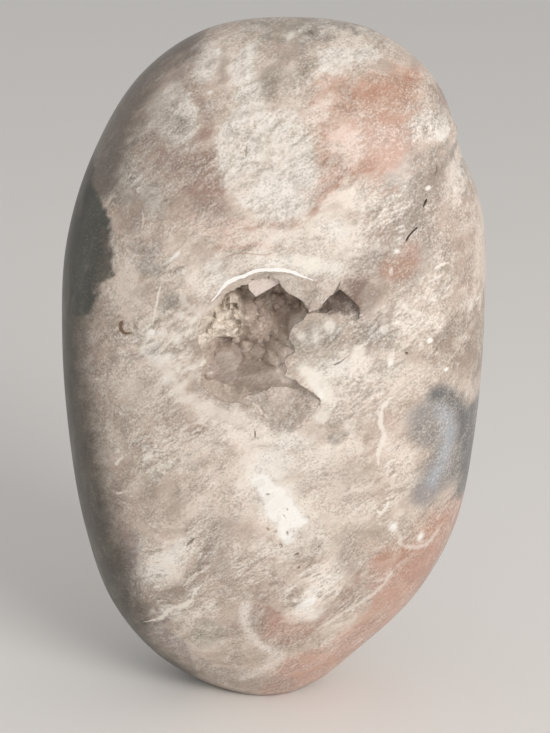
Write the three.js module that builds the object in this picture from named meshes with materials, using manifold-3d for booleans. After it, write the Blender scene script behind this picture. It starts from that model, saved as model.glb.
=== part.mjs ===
// A polished palm stone of pink amethyst, with a druzy pocket in its show face.
// It stands upright on a small flat that is ground on its lower end.
// Millimetres. +Z is up, the show face looks along -Y, and +X is to its right.
// The origin lies on the ground flat, below the middle of the stone.

import * as THREE from 'three';
import { mergeVertices, toCreasedNormals } from 'three/addons/utils/BufferGeometryUtils.js';
import Module from 'manifold-3d';

const wasm = await Module();
wasm.setup();

// The pebble: its rim seen from the front, its thickness, and how full its edge is on each side.
// A fullness of 2 is a plain ellipse, and a higher one keeps the face flat further out.
const RIM_CENTRE = { x: 0.4, z: 38 };
const RIM = [
  [23.5, 46.5], [23.1, 55.0], [20.9, 62.7], [17.3, 70.5], [11.1, 75.2], [2.3, 76.5],
  [-6.5, 75.2], [-13.6, 70.3], [-18.9, 61.7], [-22.0, 52.0], [-22.8, 41.6], [-22.4, 30.4],
  [-21.0, 19.7], [-18.1, 10.2], [-13.0, 3.5], [-6.8, -0.2], [-0.6, -1.8], [5.0, 0.2],
  [10.4, 4.9], [16.6, 11.6], [20.9, 20.2], [22.8, 31.2],
];
const HALF_THICKNESS = 13;
const LEFT_FULLNESS = 2.5;
const RIGHT_FULLNESS = 4.0;
const TOP_FULLNESS = 3.0;
const BOTTOM_FULLNESS = 3.0;
const FACE_TURN = -0.05; // how much nearer the right rim stands than the left, per millimetre of X
const PEBBLE_DETAIL = 16; // subdivisions of each icosahedron face

// Low swells and hollows of the hand-polished face: centre, radius and height.
const SWELLS = [
  { x: 8, z: 64, radius: 9, height: 0.5 },
  { x: -8, z: 65, radius: 8, height: 0.4 },
  { x: 14, z: 45, radius: 8, height: 0.35 },
  { x: -2, z: 27, radius: 7, height: -0.35 },
  { x: -12, z: 33, radius: 8, height: 0.3 },
  { x: 5, z: 16, radius: 7, height: 0.3 },
  { x: 16, z: 31, radius: 5, height: 0.35 },
];

// The natural dents in the rim, pressed in towards the pebble's middle.
const DENTS = [
  { x: 20.3, y: -3, z: 64.6, radius: 3.4, depth: 1.0 },
  { x: 21.2, y: 3.5, z: 60.5, radius: 3.4, depth: 0.5 },
];

// The druzy pocket: its mouth seen from the front, and how deep its floor lies under the face.
// The floor leans back, so that it is deepest under the arched upper lip.
const POCKET_MOUTH = [
  [-5.8, 49.2], [-4.8, 50.7], [-3.1, 51.8], [-1.0, 52.4], [1.2, 52.5], [3.3, 52.0], [4.2, 51.3],
  [4.4, 49.2], [3.9, 47.4], [2.5, 47.0], [2.2, 45.6], [2.9, 44.5], [1.7, 43.1], [1.9, 41.6],
  [-0.3, 39.1], [-4.1, 38.1], [-6.9, 39.7], [-6.8, 42.7], [-7.5, 45.3], [-6.7, 47.7],
];
const POCKET = {
  mouth: POCKET_MOUTH, x: -1.5, z: 46, depth: 5, lean: THREE.MathUtils.degToRad(17),
};

// The shallow apron of the pocket, which runs out below it to the right.
const APRON_MOUTH = [
  [-4.4, 42.2], [1.9, 41.7], [3.8, 40.8], [5.2, 39.2], [5.2, 37.5], [3.3, 35.3], [1.2, 35.1],
  [-0.7, 36.6], [-3.2, 37.7],
];
const APRON = {
  mouth: APRON_MOUTH, x: 1.5, z: 38.8, depth: 2.4, lean: THREE.MathUtils.degToRad(12),
};

// The small side pocket, behind the bridge of rock to the right of the main one.
const SIDE_MOUTH = [
  [5.0, 48.1], [6.5, 50.2], [7.6, 52.0], [9.4, 51.6], [9.1, 50.0], [8.7, 47.9], [7.6, 48.5],
  [6.4, 48.4],
];
const SIDE_POCKET = {
  mouth: SIDE_MOUTH, x: 7.3, z: 50, depth: 3, lean: THREE.MathUtils.degToRad(18),
};

// The open seam near the right edge, a narrow stepped crack.
const SEAM_MOUTH = [
  [17.2, 62.8], [17.7, 62.5], [17.1, 60.2], [16.4, 59.1], [17.1, 57.1], [15.7, 56.2], [14.7, 55.1],
  [14.4, 55.4], [15.3, 56.5], [16.4, 57.4], [16.0, 59.2], [16.7, 60.5],
];
const SEAM = { mouth: SEAM_MOUTH, x: 16.2, z: 59, depth: 1.2, lean: 0 };

// The quartz crystals that line the pocket, in one crust.
const CRYSTAL_SPACING = 1.5;
const CRYSTAL_RADIUS = [0.95, 1.7];
const CRYSTAL_RISE = [0.5, 1.9];
const CRYSTAL_ROOM = 4.5; // depth of hollow in which the crystals have grown to their full size
const SMALLEST_CRYSTAL = 0.55; // their size where the hollow is shallow
const CRYSTAL_SPREAD = 0.45; // how far a crystal may lean off the floor's upright
const CRUST_BED = 0.8; // thickness of the grown layer that the crystals stand on
const CRUST_GAP = 0.3;
const TIP_SLOPE = 1.1; // a quartz tip is about as tall as its crystal's radius
const LARGE_CRYSTALS = [
  { x: -4.3, z: 42.2, radius: 2.2, rise: 1.9, leanX: 0.1, leanZ: 0.2, twist: 0.4 },
  { x: -1.3, z: 50.0, radius: 1.7, rise: 2.6, leanX: -0.1, leanZ: -0.45, twist: 0.1 },
  { x: -2.4, z: 46.0, radius: 1.9, rise: 2.2, leanX: 0.3, leanZ: 0.2, twist: 0.8 },
  { x: 0.3, z: 42.2, radius: 1.5, rise: 1.6, leanX: -0.35, leanZ: 0.4, twist: 0.2 },
];

const EDGE_CLEAR = 6; // how far a cutter stands out of the face
const CREASE = THREE.MathUtils.degToRad(14); // edges sharper than this are drawn sharp

// A repeatable random number from 0 to 1.
function makeRandom(seed) {
  let state = seed;
  return () => {
    state = (state * 1664525 + 1013904223) % 4294967296;
    return state / 4294967296;
  };
}

function between([low, high], share) {
  return low + (high - low) * share;
}

// The rim as a smooth closed curve, kept as a distance from its centre for each direction.
const rimByAngle = (() => {
  const steps = 720;
  const curve = new THREE.CatmullRomCurve3(
    RIM.map(([x, z]) => new THREE.Vector3(x, 0, z)), true, 'centripetal');
  return curve.getPoints(steps).slice(0, steps)
    .map((p) => [Math.atan2(p.z - RIM_CENTRE.z, p.x - RIM_CENTRE.x),
      Math.hypot(p.x - RIM_CENTRE.x, p.z - RIM_CENTRE.z)])
    .sort((a, b) => a[0] - b[0]);
})();

function rimRadius(angle) {
  const after = rimByAngle.findIndex(([a]) => a > angle);
  const last = rimByAngle.length - 1;
  if (after <= 0) return rimByAngle[after === 0 ? 0 : last][1];
  const [a0, r0] = rimByAngle[after - 1];
  const [a1, r1] = rimByAngle[after];
  return r0 + (r1 - r0) * (angle - a0) / (a1 - a0);
}

function edgeFullness(angle) {
  const across = Math.cos(angle);
  const up = Math.sin(angle);
  return across * across * (across > 0 ? RIGHT_FULLNESS : LEFT_FULLNESS)
    + up * up * (up > 0 ? TOP_FULLNESS : BOTTOM_FULLNESS);
}

function swellHeight(x, z) {
  return SWELLS.reduce((sum, s) => {
    const away = Math.hypot(x - s.x, z - s.z) / s.radius;
    return sum + s.height * Math.exp(-away * away);
  }, 0);
}

function dentDepth(x, y, z) {
  return DENTS.reduce((sum, d) => {
    const away = Math.hypot(x - d.x, y - d.y, z - d.z) / d.radius;
    return sum + d.depth * Math.exp(-away * away);
  }, 0);
}

// The point of the pebble's skin in a direction of the unit sphere.
function pebblePoint(direction) {
  const angle = Math.atan2(direction.z, direction.x);
  const spread = Math.hypot(direction.x, direction.z) ** (2 / edgeFullness(angle));
  const x = RIM_CENTRE.x + Math.cos(angle) * spread * rimRadius(angle);
  const z = RIM_CENTRE.z + Math.sin(angle) * spread * rimRadius(angle);
  const facing = Math.max(0, -direction.y);
  const y = direction.y * HALF_THICKNESS - facing * swellHeight(x, z) + FACE_TURN * x;
  const dent = dentDepth(x, y, z);
  return new THREE.Vector3(x - Math.cos(angle) * dent, y, z - Math.sin(angle) * dent);
}

// The Y of the show face over a point of the front view.
function faceY(x, z) {
  const angle = Math.atan2(z - RIM_CENTRE.z, x - RIM_CENTRE.x);
  const share = Math.hypot(x - RIM_CENTRE.x, z - RIM_CENTRE.z) / rimRadius(angle);
  const facing = Math.sqrt(Math.max(0, 1 - share ** edgeFullness(angle)));
  return -facing * (HALF_THICKNESS + swellHeight(x, z)) + FACE_TURN * x;
}

// A closed three.js geometry as a solid that can be joined and cut.
function solidOf(geometry, matrix = new THREE.Matrix4()) {
  const bare = geometry.clone().applyMatrix4(matrix);
  bare.deleteAttribute('normal');
  bare.deleteAttribute('uv');
  const merged = mergeVertices(bare, 1e-4);
  return new wasm.Manifold(new wasm.Mesh({
    numProp: 3,
    vertProperties: new Float32Array(merged.attributes.position.array),
    triVerts: new Uint32Array(merged.index.array),
  }));
}

function geometryOf(solid) {
  const { numProp, vertProperties, triVerts } = solid.getMesh();
  const positions = new Float32Array(vertProperties.length / numProp * 3);
  for (let i = 0; i < positions.length / 3; i += 1) {
    positions.set(vertProperties.subarray(i * numProp, i * numProp + 3), i * 3);
  }
  const geometry = new THREE.BufferGeometry();
  geometry.setAttribute('position', new THREE.BufferAttribute(positions, 3));
  geometry.setIndex(new THREE.BufferAttribute(new Uint32Array(triVerts), 1));
  return toCreasedNormals(geometry, CREASE);
}

function pebbleSolid() {
  const geometry = new THREE.IcosahedronGeometry(1, PEBBLE_DETAIL);
  const positions = geometry.attributes.position;
  for (let i = 0; i < positions.count; i += 1) {
    const direction = new THREE.Vector3().fromBufferAttribute(positions, i).normalize();
    positions.setXYZ(i, ...pebblePoint(direction).toArray());
  }
  return solidOf(geometry);
}

// Everything below the ground flat.
function groundCutter() {
  const side = 60;
  return solidOf(new THREE.BoxGeometry(side, side, side),
    new THREE.Matrix4().makeTranslation(0, 0, -side / 2));
}

// A loop of front-view points moved inwards by a gap.
function insetLoop(loop, gap) {
  const turn = THREE.ShapeUtils.area(loop.map(([x, z]) => new THREE.Vector2(x, z))) > 0 ? -1 : 1;
  return loop.map(([x, z], i) => {
    const [beforeX, beforeZ] = loop.at(i - 1);
    const [afterX, afterZ] = loop[(i + 1) % loop.length];
    const inward = new THREE.Vector2(afterZ - beforeZ, beforeX - afterX).setLength(gap * turn);
    return [x + inward.x, z + inward.y];
  });
}

// The solid of air in a hollow, kept clear of its walls and floor by a gap. In the cutter's own frame
// the origin lies on the floor, Z comes out of the face, and Y goes up.
function hollowCutter({ mouth, x, z, depth, lean }, gap = 0) {
  const floorDepth = depth - gap;
  const shape = new THREE.Shape(insetLoop(mouth, gap).map(([mouthX, mouthZ]) => new THREE.Vector2(
    mouthX - x, (mouthZ - z) * Math.cos(lean) - floorDepth * Math.sin(lean))));
  const geometry = new THREE.ExtrudeGeometry(
    shape, { depth: floorDepth + EDGE_CLEAR, bevelEnabled: false });
  return solidOf(geometry, new THREE.Matrix4()
    .makeTranslation(x, faceY(x, z) + floorDepth, z)
    .multiply(new THREE.Matrix4().makeRotationX(Math.PI / 2 - lean)));
}

function druzyHollow(gap) {
  return hollowCutter(POCKET, gap).add(hollowCutter(APRON, gap));
}

function stoneSolid(pebble) {
  return pebble
    .subtract(groundCutter())
    .subtract(druzyHollow(0))
    .subtract(hollowCutter(SIDE_POCKET))
    .subtract(hollowCutter(SEAM));
}

// A six-sided quartz crystal, rooted at a point and pointing along a direction.
function crystalSolid(root, direction, radius, rise, twist) {
  const rootLength = 2.5;
  const profile = [[0, -rootLength], [radius, -rootLength], [radius, rise], [0, rise + radius * TIP_SLOPE]]
    .map(([r, h]) => new THREE.Vector2(r, h));
  const turn = new THREE.Quaternion()
    .setFromUnitVectors(new THREE.Vector3(0, 1, 0), direction.clone().normalize())
    .multiply(new THREE.Quaternion().setFromAxisAngle(new THREE.Vector3(0, 1, 0), twist));
  const matrix = new THREE.Matrix4().compose(root, turn, new THREE.Vector3(1, 1, 1));
  return solidOf(new THREE.LatheGeometry(profile, 6), matrix);
}

// The Y of a hollow's floor at a height, which leans back under the upper lip.
function floorY(hollow, z) {
  return faceY(hollow.x, hollow.z) + hollow.depth + Math.tan(hollow.lean) * (z - hollow.z);
}

function crystals() {
  const random = makeRandom(7);
  const made = [];
  for (const hollow of [POCKET, APRON]) {
    const box = new THREE.Box2().setFromPoints(hollow.mouth.map(([x, z]) => new THREE.Vector2(x, z)));
    for (let x = box.min.x; x <= box.max.x; x += CRYSTAL_SPACING) {
      for (let z = box.min.y; z <= box.max.y; z += CRYSTAL_SPACING) {
        const rootX = x + (random() - 0.5) * CRYSTAL_SPACING;
        const rootZ = z + (random() - 0.5) * CRYSTAL_SPACING;
        const leanX = (random() - 0.5) * 2 * CRYSTAL_SPREAD;
        const leanZ = (random() - 0.5) * 2 * CRYSTAL_SPREAD + Math.sin(hollow.lean);
        const room = floorY(hollow, rootZ) - faceY(rootX, rootZ);
        const size = THREE.MathUtils.clamp(room / CRYSTAL_ROOM, SMALLEST_CRYSTAL, 1);
        made.push(crystalSolid(
          new THREE.Vector3(rootX, floorY(hollow, rootZ) - CRUST_BED / 2, rootZ),
          new THREE.Vector3(leanX, -1, leanZ),
          between(CRYSTAL_RADIUS, random()) * size,
          between(CRYSTAL_RISE, random()) * size,
          random() * Math.PI));
      }
    }
  }
  for (const c of LARGE_CRYSTALS) {
    made.push(crystalSolid(
      new THREE.Vector3(c.x, floorY(POCKET, c.z) - CRUST_BED, c.z),
      new THREE.Vector3(c.leanX, -1, c.leanZ), c.radius, c.rise, c.twist));
  }
  return wasm.Manifold.union(made);
}

// The crust: a thin bed on the hollow's floor with the crystals, kept clear of the rock all round.
function crustSolid(pebble) {
  const air = druzyHollow(CRUST_GAP);
  const bed = air.subtract(air.translate([0, -CRUST_BED, 0]));
  const underFace = pebble.translate([0, CRUST_GAP, 0]);
  const grown = bed.add(crystals().intersect(air)).intersect(underFace);
  return grown.decompose().sort((a, b) => b.volume() - a.volume())[0];
}

function named(name, solid, color, roughness) {
  const material = new THREE.MeshStandardMaterial({ color, roughness, metalness: 0 });
  const mesh = new THREE.Mesh(geometryOf(solid), material);
  mesh.name = name;
  return mesh;
}

const pebble = pebbleSolid();
const palmStone = new THREE.Group();
palmStone.add(named('stone', stoneSolid(pebble), 0xc7b8ab, 0.3));
palmStone.add(named('crystal_crust', crustSolid(pebble), 0x9b8a80, 0.25));

export default palmStone;
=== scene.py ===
"""A polished palm stone of pink amethyst and chalcedony, with a druzy pocket in its show face.

The stone is a flattened egg that stands upright on a small ground flat. Shapes and markings are worked
out in millimetres and handed to Blender in metres. +Z is up, the show face looks along -Y, and +X is to
its right.
"""

from __future__ import annotations

import logging
import math
from collections.abc import Callable, Sequence
from dataclasses import dataclass, replace
from enum import Enum
from typing import Any

import bpy
import numpy as np
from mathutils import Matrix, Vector

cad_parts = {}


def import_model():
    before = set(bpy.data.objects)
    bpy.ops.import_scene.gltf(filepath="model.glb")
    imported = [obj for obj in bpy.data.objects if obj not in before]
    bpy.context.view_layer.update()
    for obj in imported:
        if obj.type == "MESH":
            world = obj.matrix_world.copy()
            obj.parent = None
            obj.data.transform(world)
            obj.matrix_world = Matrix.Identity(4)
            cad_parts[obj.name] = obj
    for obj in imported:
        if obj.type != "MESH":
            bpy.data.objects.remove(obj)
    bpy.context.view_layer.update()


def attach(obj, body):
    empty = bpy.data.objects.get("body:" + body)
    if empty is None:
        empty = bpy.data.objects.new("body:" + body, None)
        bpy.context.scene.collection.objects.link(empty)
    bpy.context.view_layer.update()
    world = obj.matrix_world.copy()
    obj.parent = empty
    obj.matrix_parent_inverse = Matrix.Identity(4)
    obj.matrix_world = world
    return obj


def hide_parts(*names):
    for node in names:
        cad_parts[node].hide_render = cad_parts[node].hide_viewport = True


MM = 0.001
TINY = 1e-12
MARK_STEPS = 4
STONE_MIDDLE = (0.7, 0.0, 38.0)
LOG = logging.getLogger("palm_stone")

Outline = tuple[tuple[float, float], ...]
Array = np.ndarray


def smooth_step(value: Array, low: float, high: float) -> Array:
    """Eases from 0 at low to 1 at high.

    Args:
        value: The numbers to ease.
        low: Where the step starts.
        high: Where the step ends.

    Returns:
        The eased numbers, from 0 to 1.
    """
    share = np.clip((value - low) / (high - low), 0.0, 1.0)
    return share * share * (3.0 - 2.0 * share)


class LatticeNoise:
    """Smooth seeded noise in space, from about -1 to 1."""

    TABLE_SIZE = 8192
    HASH = np.array([73856093, 19349663, 83492791])
    OCTAVE_SHIFT = 17.3

    def __init__(self, seed: int) -> None:
        """Draws the values at the lattice's corners."""
        self.table = np.random.default_rng(seed).uniform(-1.0, 1.0, self.TABLE_SIZE)

    def at(self, points: Array, size: float) -> Array:
        """Noise at points.

        Args:
            points: Rows of X, Y, Z.
            size: The width of a bump, in the points' unit.

        Returns:
            One number for each point.
        """
        scaled = points / size
        cell = np.floor(scaled).astype(np.int64)
        part = scaled - cell
        ease = part * part * (3.0 - 2.0 * part)
        total = np.zeros(len(points))
        for corner in np.ndindex(2, 2, 2):
            share = np.prod(np.where(np.array(corner) == 1, ease, 1.0 - ease), axis=1)
            keys = np.bitwise_xor.reduce((cell + corner) * self.HASH, axis=1)
            total += share * self.table[keys % self.TABLE_SIZE]
        return total

    def rough(self, points: Array, size: float, octaves: int = 3) -> Array:
        """Noise with finer noise on it, each octave half as wide and half as high."""
        return sum(self.at(points + octave * self.OCTAVE_SHIFT, size / 2**octave) / 2**octave
                   for octave in range(octaves))


def curve_through(points: Sequence[tuple[float, float]], closed: bool, steps: int = 8) -> Array:
    """A centripetal Catmull-Rom curve through points of the front view.

    Args:
        points: The points (x, z) that the curve passes.
        closed: Whether the curve ends where it starts.
        steps: How many stretches lie between two points.

    Returns:
        Rows of x, z along the curve.
    """
    knots = np.array(points, float)
    if closed:
        knots = np.vstack([knots[-1:], knots, knots[:2]])
    else:
        knots = np.vstack([2 * knots[0] - knots[1], knots, 2 * knots[-1] - knots[-2]])
    shares = np.linspace(0.0, 1.0, steps, endpoint=False)[:, None]
    pieces = []
    for before, start, end, after in zip(knots, knots[1:], knots[2:], knots[3:]):
        gaps = [math.sqrt(np.linalg.norm(b - a)) for a, b in ((before, start), (start, end), (end, after))]
        leave = (start - before) / gaps[0] - (end - before) / (gaps[0] + gaps[1]) + (end - start) / gaps[1]
        arrive = (end - start) / gaps[1] - (after - start) / (gaps[1] + gaps[2]) + (after - end) / gaps[2]
        leave, arrive = leave * gaps[1], arrive * gaps[1]
        square = -3 * start + 3 * end - 2 * leave - arrive
        cube = 2 * start - 2 * end + leave + arrive
        pieces.append(start + leave * shares + square * shares**2 + cube * shares**3)
    if not closed:
        pieces.append(knots[-2:-1])
    return np.vstack(pieces)


@dataclass(frozen=True)
class NearestPoint:
    """How points of the front view lie to a line: offset is positive on the line's left."""

    offset: Array
    along: Array


def nearest_on(line: Array, x: Array, z: Array) -> NearestPoint:
    """Measures points of the front view against a line of short stretches.

    Args:
        line: Rows of x, z along the line.
        x: X of each point.
        z: Z of each point.

    Returns:
        The signed distance in millimetres, and the place along the line from 0 to 1.
    """
    best = np.full(x.shape, np.inf)
    side = np.ones(x.shape)
    along = np.zeros(x.shape)
    count = len(line) - 1
    for index, ((ax, az), (bx, bz)) in enumerate(zip(line, line[1:])):
        dx, dz = bx - ax, bz - az
        share = np.clip(((x - ax) * dx + (z - az) * dz) / (dx * dx + dz * dz + TINY), 0.0, 1.0)
        distance = np.hypot(x - ax - share * dx, z - az - share * dz)
        nearer = distance < best
        best = np.where(nearer, distance, best)
        side = np.where(nearer, np.sign(dx * (z - az) - dz * (x - ax)), side)
        along = np.where(nearer, (index + share) / count, along)
    return NearestPoint(best * side, along)


def inside_loop(line: Array, x: Array, z: Array) -> Array:
    """Measures points of the front view against a closed line.

    Args:
        line: Rows of x, z along the line.
        x: X of each point.
        z: Z of each point.

    Returns:
        The distance into the line in millimetres, negative outside it.
    """
    ring = np.vstack([line, line[:1]])
    distance = np.abs(nearest_on(ring, x, z).offset)
    crossings = np.zeros(x.shape, int)
    for (ax, az), (bx, bz) in zip(ring, ring[1:]):
        spans = (az > z) != (bz > z)
        reach = ax + (z - az) * (bx - ax) / (bz - az if bz != az else 1.0)
        crossings += spans & (x < reach)
    return np.where(crossings % 2 == 1, distance, -distance)


def front_points(x: Array, z: Array) -> Array:
    """Points of the front view as rows of X, Y, Z."""
    return np.stack([x, np.zeros_like(x), z], 1)


def own_axes(x: Array, z: Array, centre: tuple[float, float], turn: float) -> tuple[Array, Array]:
    """Measures points of the front view along the axes of a turned mark.

    Args:
        x: X of each point.
        z: Z of each point.
        centre: The mark's middle.
        turn: The mark's slope in degrees.

    Returns:
        How far each point lies along the mark and up from it.
    """
    slope = math.radians(turn)
    across = (x - centre[0]) * math.cos(slope) + (z - centre[1]) * math.sin(slope)
    up = (z - centre[1]) * math.cos(slope) - (x - centre[0]) * math.sin(slope)
    return across, up


@dataclass(frozen=True)
class Swell:
    """A low rise of the hand-polished face."""

    x: float
    z: float
    radius: float
    height: float


@dataclass(frozen=True)
class Dent:
    """A natural dent, pressed in towards the pebble's middle."""

    x: float
    y: float
    z: float
    radius: float
    depth: float


@dataclass(frozen=True)
class Pebble:
    """The pebble's skin in millimetres: its rim seen from the front, and how full its edge is."""

    centre: tuple[float, float] = (0.4, 38.0)
    rim: Outline = (
        (23.5, 46.5), (23.1, 55.0), (20.9, 62.7), (17.3, 70.5), (11.1, 75.2), (2.3, 76.5),
        (-6.5, 75.2), (-13.6, 70.3), (-18.9, 61.7), (-22.0, 52.0), (-22.8, 41.6), (-22.4, 30.4),
        (-21.0, 19.7), (-18.1, 10.2), (-13.0, 3.5), (-6.8, -0.2), (-0.6, -1.8), (5.0, 0.2),
        (10.4, 4.9), (16.6, 11.6), (20.9, 20.2), (22.8, 31.2),
    )
    half_thickness: float = 13.0
    left_fullness: float = 2.5
    right_fullness: float = 4.0
    end_fullness: float = 3.0
    face_turn: float = -0.05
    swells: tuple[Swell, ...] = (
        Swell(8, 64, 9, 0.5), Swell(-8, 65, 8, 0.4), Swell(14, 45, 8, 0.35), Swell(-2, 27, 7, -0.35),
        Swell(-12, 33, 8, 0.3), Swell(5, 16, 7, 0.3), Swell(16, 31, 5, 0.35),
    )
    dents: tuple[Dent, ...] = (
        Dent(20.5, -3.0, 63.4, 3.2, 0.9), Dent(21.2, 3.5, 60.5, 3.4, 0.5), Dent(19.7, -3.2, 64.9, 1.2, -0.85),
        Dent(20.8, -3.4, 62.7, 1.1, 1.0),
    )

    RIM_STEPS = 40
    HALVINGS = 40

    def rim_radius(self, angle: Array) -> Array:
        """Distance from the centre to the rim, for directions of the front view."""
        across, up = (curve_through(self.rim, closed=True, steps=self.RIM_STEPS) - self.centre).T
        return np.interp(angle, np.arctan2(up, across), np.hypot(across, up), period=2 * math.pi)

    def fullness(self, angle: Array) -> Array:
        """How full the edge is in each direction.

        Args:
            angle: Directions of the front view, in radians.

        Returns:
            The power of the edge: 2 is a plain ellipse, and more keeps the face flat.
        """
        across = np.cos(angle)
        full_side = np.where(across > 0, self.right_fullness, self.left_fullness)
        return across**2 * full_side + (1 - across**2) * self.end_fullness

    def swell_height(self, x: Array, z: Array) -> Array:
        """How far the face stands out at points of the front view."""
        return sum(s.height * np.exp(-((x - s.x) ** 2 + (z - s.z) ** 2) / s.radius**2) for s in self.swells)

    def face_y(self, x: Array, z: Array) -> Array:
        """The show face over points of the front view, without its dents.

        Args:
            x: X of each point.
            z: Z of each point.

        Returns:
            Y at each point.
        """
        angle = np.arctan2(z - self.centre[1], x - self.centre[0])
        share = np.hypot(x - self.centre[0], z - self.centre[1]) / self.rim_radius(angle)
        facing = np.sqrt(np.maximum(0.0, 1.0 - share ** self.fullness(angle)))
        return -facing * (self.half_thickness + self.swell_height(x, z)) + self.face_turn * x

    def skin(self, points: Array) -> Array:
        """Moves points straight out from the pebble's middle until they lie on its skin.

        Args:
            points: Rows of X, Y, Z about the pebble, none of them at its middle.

        Returns:
            The points of the skin in the same directions.
        """
        across, up = points[:, 0] - self.centre[0], points[:, 2] - self.centre[1]
        angle = np.arctan2(up, across)
        radius, full = self.rim_radius(angle), self.fullness(angle)
        planar = np.hypot(across, up) / radius
        deep = np.abs(points[:, 1]) / self.half_thickness
        low = np.zeros(len(points))
        high = 1.0 / np.maximum(planar, deep)
        for _ in range(self.HALVINGS):
            middle = (low + high) / 2
            outside = (middle * planar) ** full + (middle * deep) ** 2 > 1.0
            low, high = np.where(outside, low, middle), np.where(outside, middle, high)
        x = self.centre[0] + low * across
        z = self.centre[1] + low * up
        facing = low * points[:, 1] / self.half_thickness
        y = facing * self.half_thickness - np.maximum(0.0, -facing) * self.swell_height(x, z)
        y += self.face_turn * x
        for dent in self.dents:
            away = ((x - dent.x) ** 2 + (y - dent.y) ** 2 + (z - dent.z) ** 2) / dent.radius**2
            push = dent.depth * np.exp(-away)
            x, z = x - np.cos(angle) * push, z - np.sin(angle) * push
        return np.stack([x, y, z], axis=1)


def box_shell(counts: tuple[int, int, int]) -> tuple[Array, Array]:
    """The skin of a box of cells, with shared corners.

    Args:
        counts: The number of cells along X, Y and Z.

    Returns:
        The corners, from -1 to 1 along each axis, and the four-cornered faces, pointing out.
    """
    def key(i: Array, j: Array, k: Array) -> Array:
        """One number for each lattice corner."""
        return (i * (counts[1] + 1) + j) * (counts[2] + 1) + k

    faces = []
    for axis in range(3):
        first, second = (a for a in range(3) if a != axis)
        grid = np.meshgrid(np.arange(counts[first]), np.arange(counts[second]), indexing="ij")
        for side in (0, counts[axis]):
            ring = []
            for step_first, step_second in ((0, 0), (1, 0), (1, 1), (0, 1)):
                place = [np.full(grid[0].shape, side)] * 3
                place[first], place[second] = grid[0] + step_first, grid[1] + step_second
                ring.append(key(*place).ravel())
            outward = ring if (side > 0) == (axis != 1) else ring[::-1]
            faces.append(np.stack(outward, axis=1))
    used, corners = np.unique(np.vstack(faces), return_inverse=True)
    rest, k = np.divmod(used, counts[2] + 1)
    i, j = np.divmod(rest, counts[1] + 1)
    lattice = np.stack([i, j, k], axis=1) / np.array(counts) * 2.0 - 1.0
    return lattice, corners.reshape(-1, 4)


def new_mesh(name: str, points: Array, faces: Sequence[Sequence[int]]) -> bpy.types.Mesh:
    """Makes a Blender mesh.

    Args:
        name: The mesh's name.
        points: Rows of X, Y, Z in millimetres.
        faces: The points of each face, in order.

    Returns:
        The mesh, in metres.
    """
    mesh = bpy.data.meshes.new(name)
    mesh.from_pydata((np.asarray(points) * MM).tolist(), [], [list(map(int, f)) for f in faces])
    mesh.update()
    return mesh


def points_of(mesh: bpy.types.Mesh) -> Array:
    """Reads a mesh's points.

    Args:
        mesh: A mesh in metres.

    Returns:
        Rows of X, Y, Z in millimetres.
    """
    flat = np.empty(len(mesh.vertices) * 3, np.float32)
    mesh.vertices.foreach_get("co", flat)
    return flat.reshape(-1, 3).astype(float) / MM


def set_points(mesh: bpy.types.Mesh, points: Array) -> None:
    """Puts the mesh's points where an array in millimetres says."""
    mesh.vertices.foreach_set("co", (points * MM).astype(np.float32).ravel())
    mesh.update()


def add_object(name: str, data: bpy.types.ID) -> bpy.types.Object:
    """Puts a mesh, a camera or a lamp into the scene.

    Args:
        name: The object's name.
        data: What the object shows.

    Returns:
        The object.
    """
    thing = bpy.data.objects.new(name, data)
    bpy.context.scene.collection.objects.link(thing)
    return thing


def add_piece(name: str, mesh: bpy.types.Mesh, sharp: float) -> bpy.types.Object:
    """Smooths a mesh, all but its sharp edges, and puts it into the scene.

    Args:
        name: The piece's name.
        mesh: The piece's mesh.
        sharp: From what angle on an edge stays sharp, in radians.

    Returns:
        The piece.
    """
    mesh.name = name
    mesh.shade_smooth()
    mesh.set_sharp_from_angle(angle=sharp)
    return add_object(name, mesh)


class Join(Enum):
    """How two solids are put together."""

    CUT = "DIFFERENCE"
    ADD = "UNION"
    KEEP_SHARED = "INTERSECT"


def put_together(base: bpy.types.Mesh, others: Sequence[bpy.types.Mesh], how: Join) -> bpy.types.Mesh:
    """Joins or cuts solids, one after the other.

    Args:
        base: The solid to start from.
        others: The solids to add to it or to cut out of it.
        how: What is done with each of them.

    Returns:
        A new mesh.
    """
    result = base
    for other in others:
        holder = add_object("work_base", result)
        tool = add_object("work_tool", other)
        step = holder.modifiers.new("join", "BOOLEAN")
        step.operation, step.solver, step.object = how.value, "MANIFOLD", tool
        graph = bpy.context.evaluated_depsgraph_get()
        result = bpy.data.meshes.new_from_object(holder.evaluated_get(graph))
        for thing in (holder, tool):
            bpy.data.objects.remove(thing)
    return result


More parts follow.
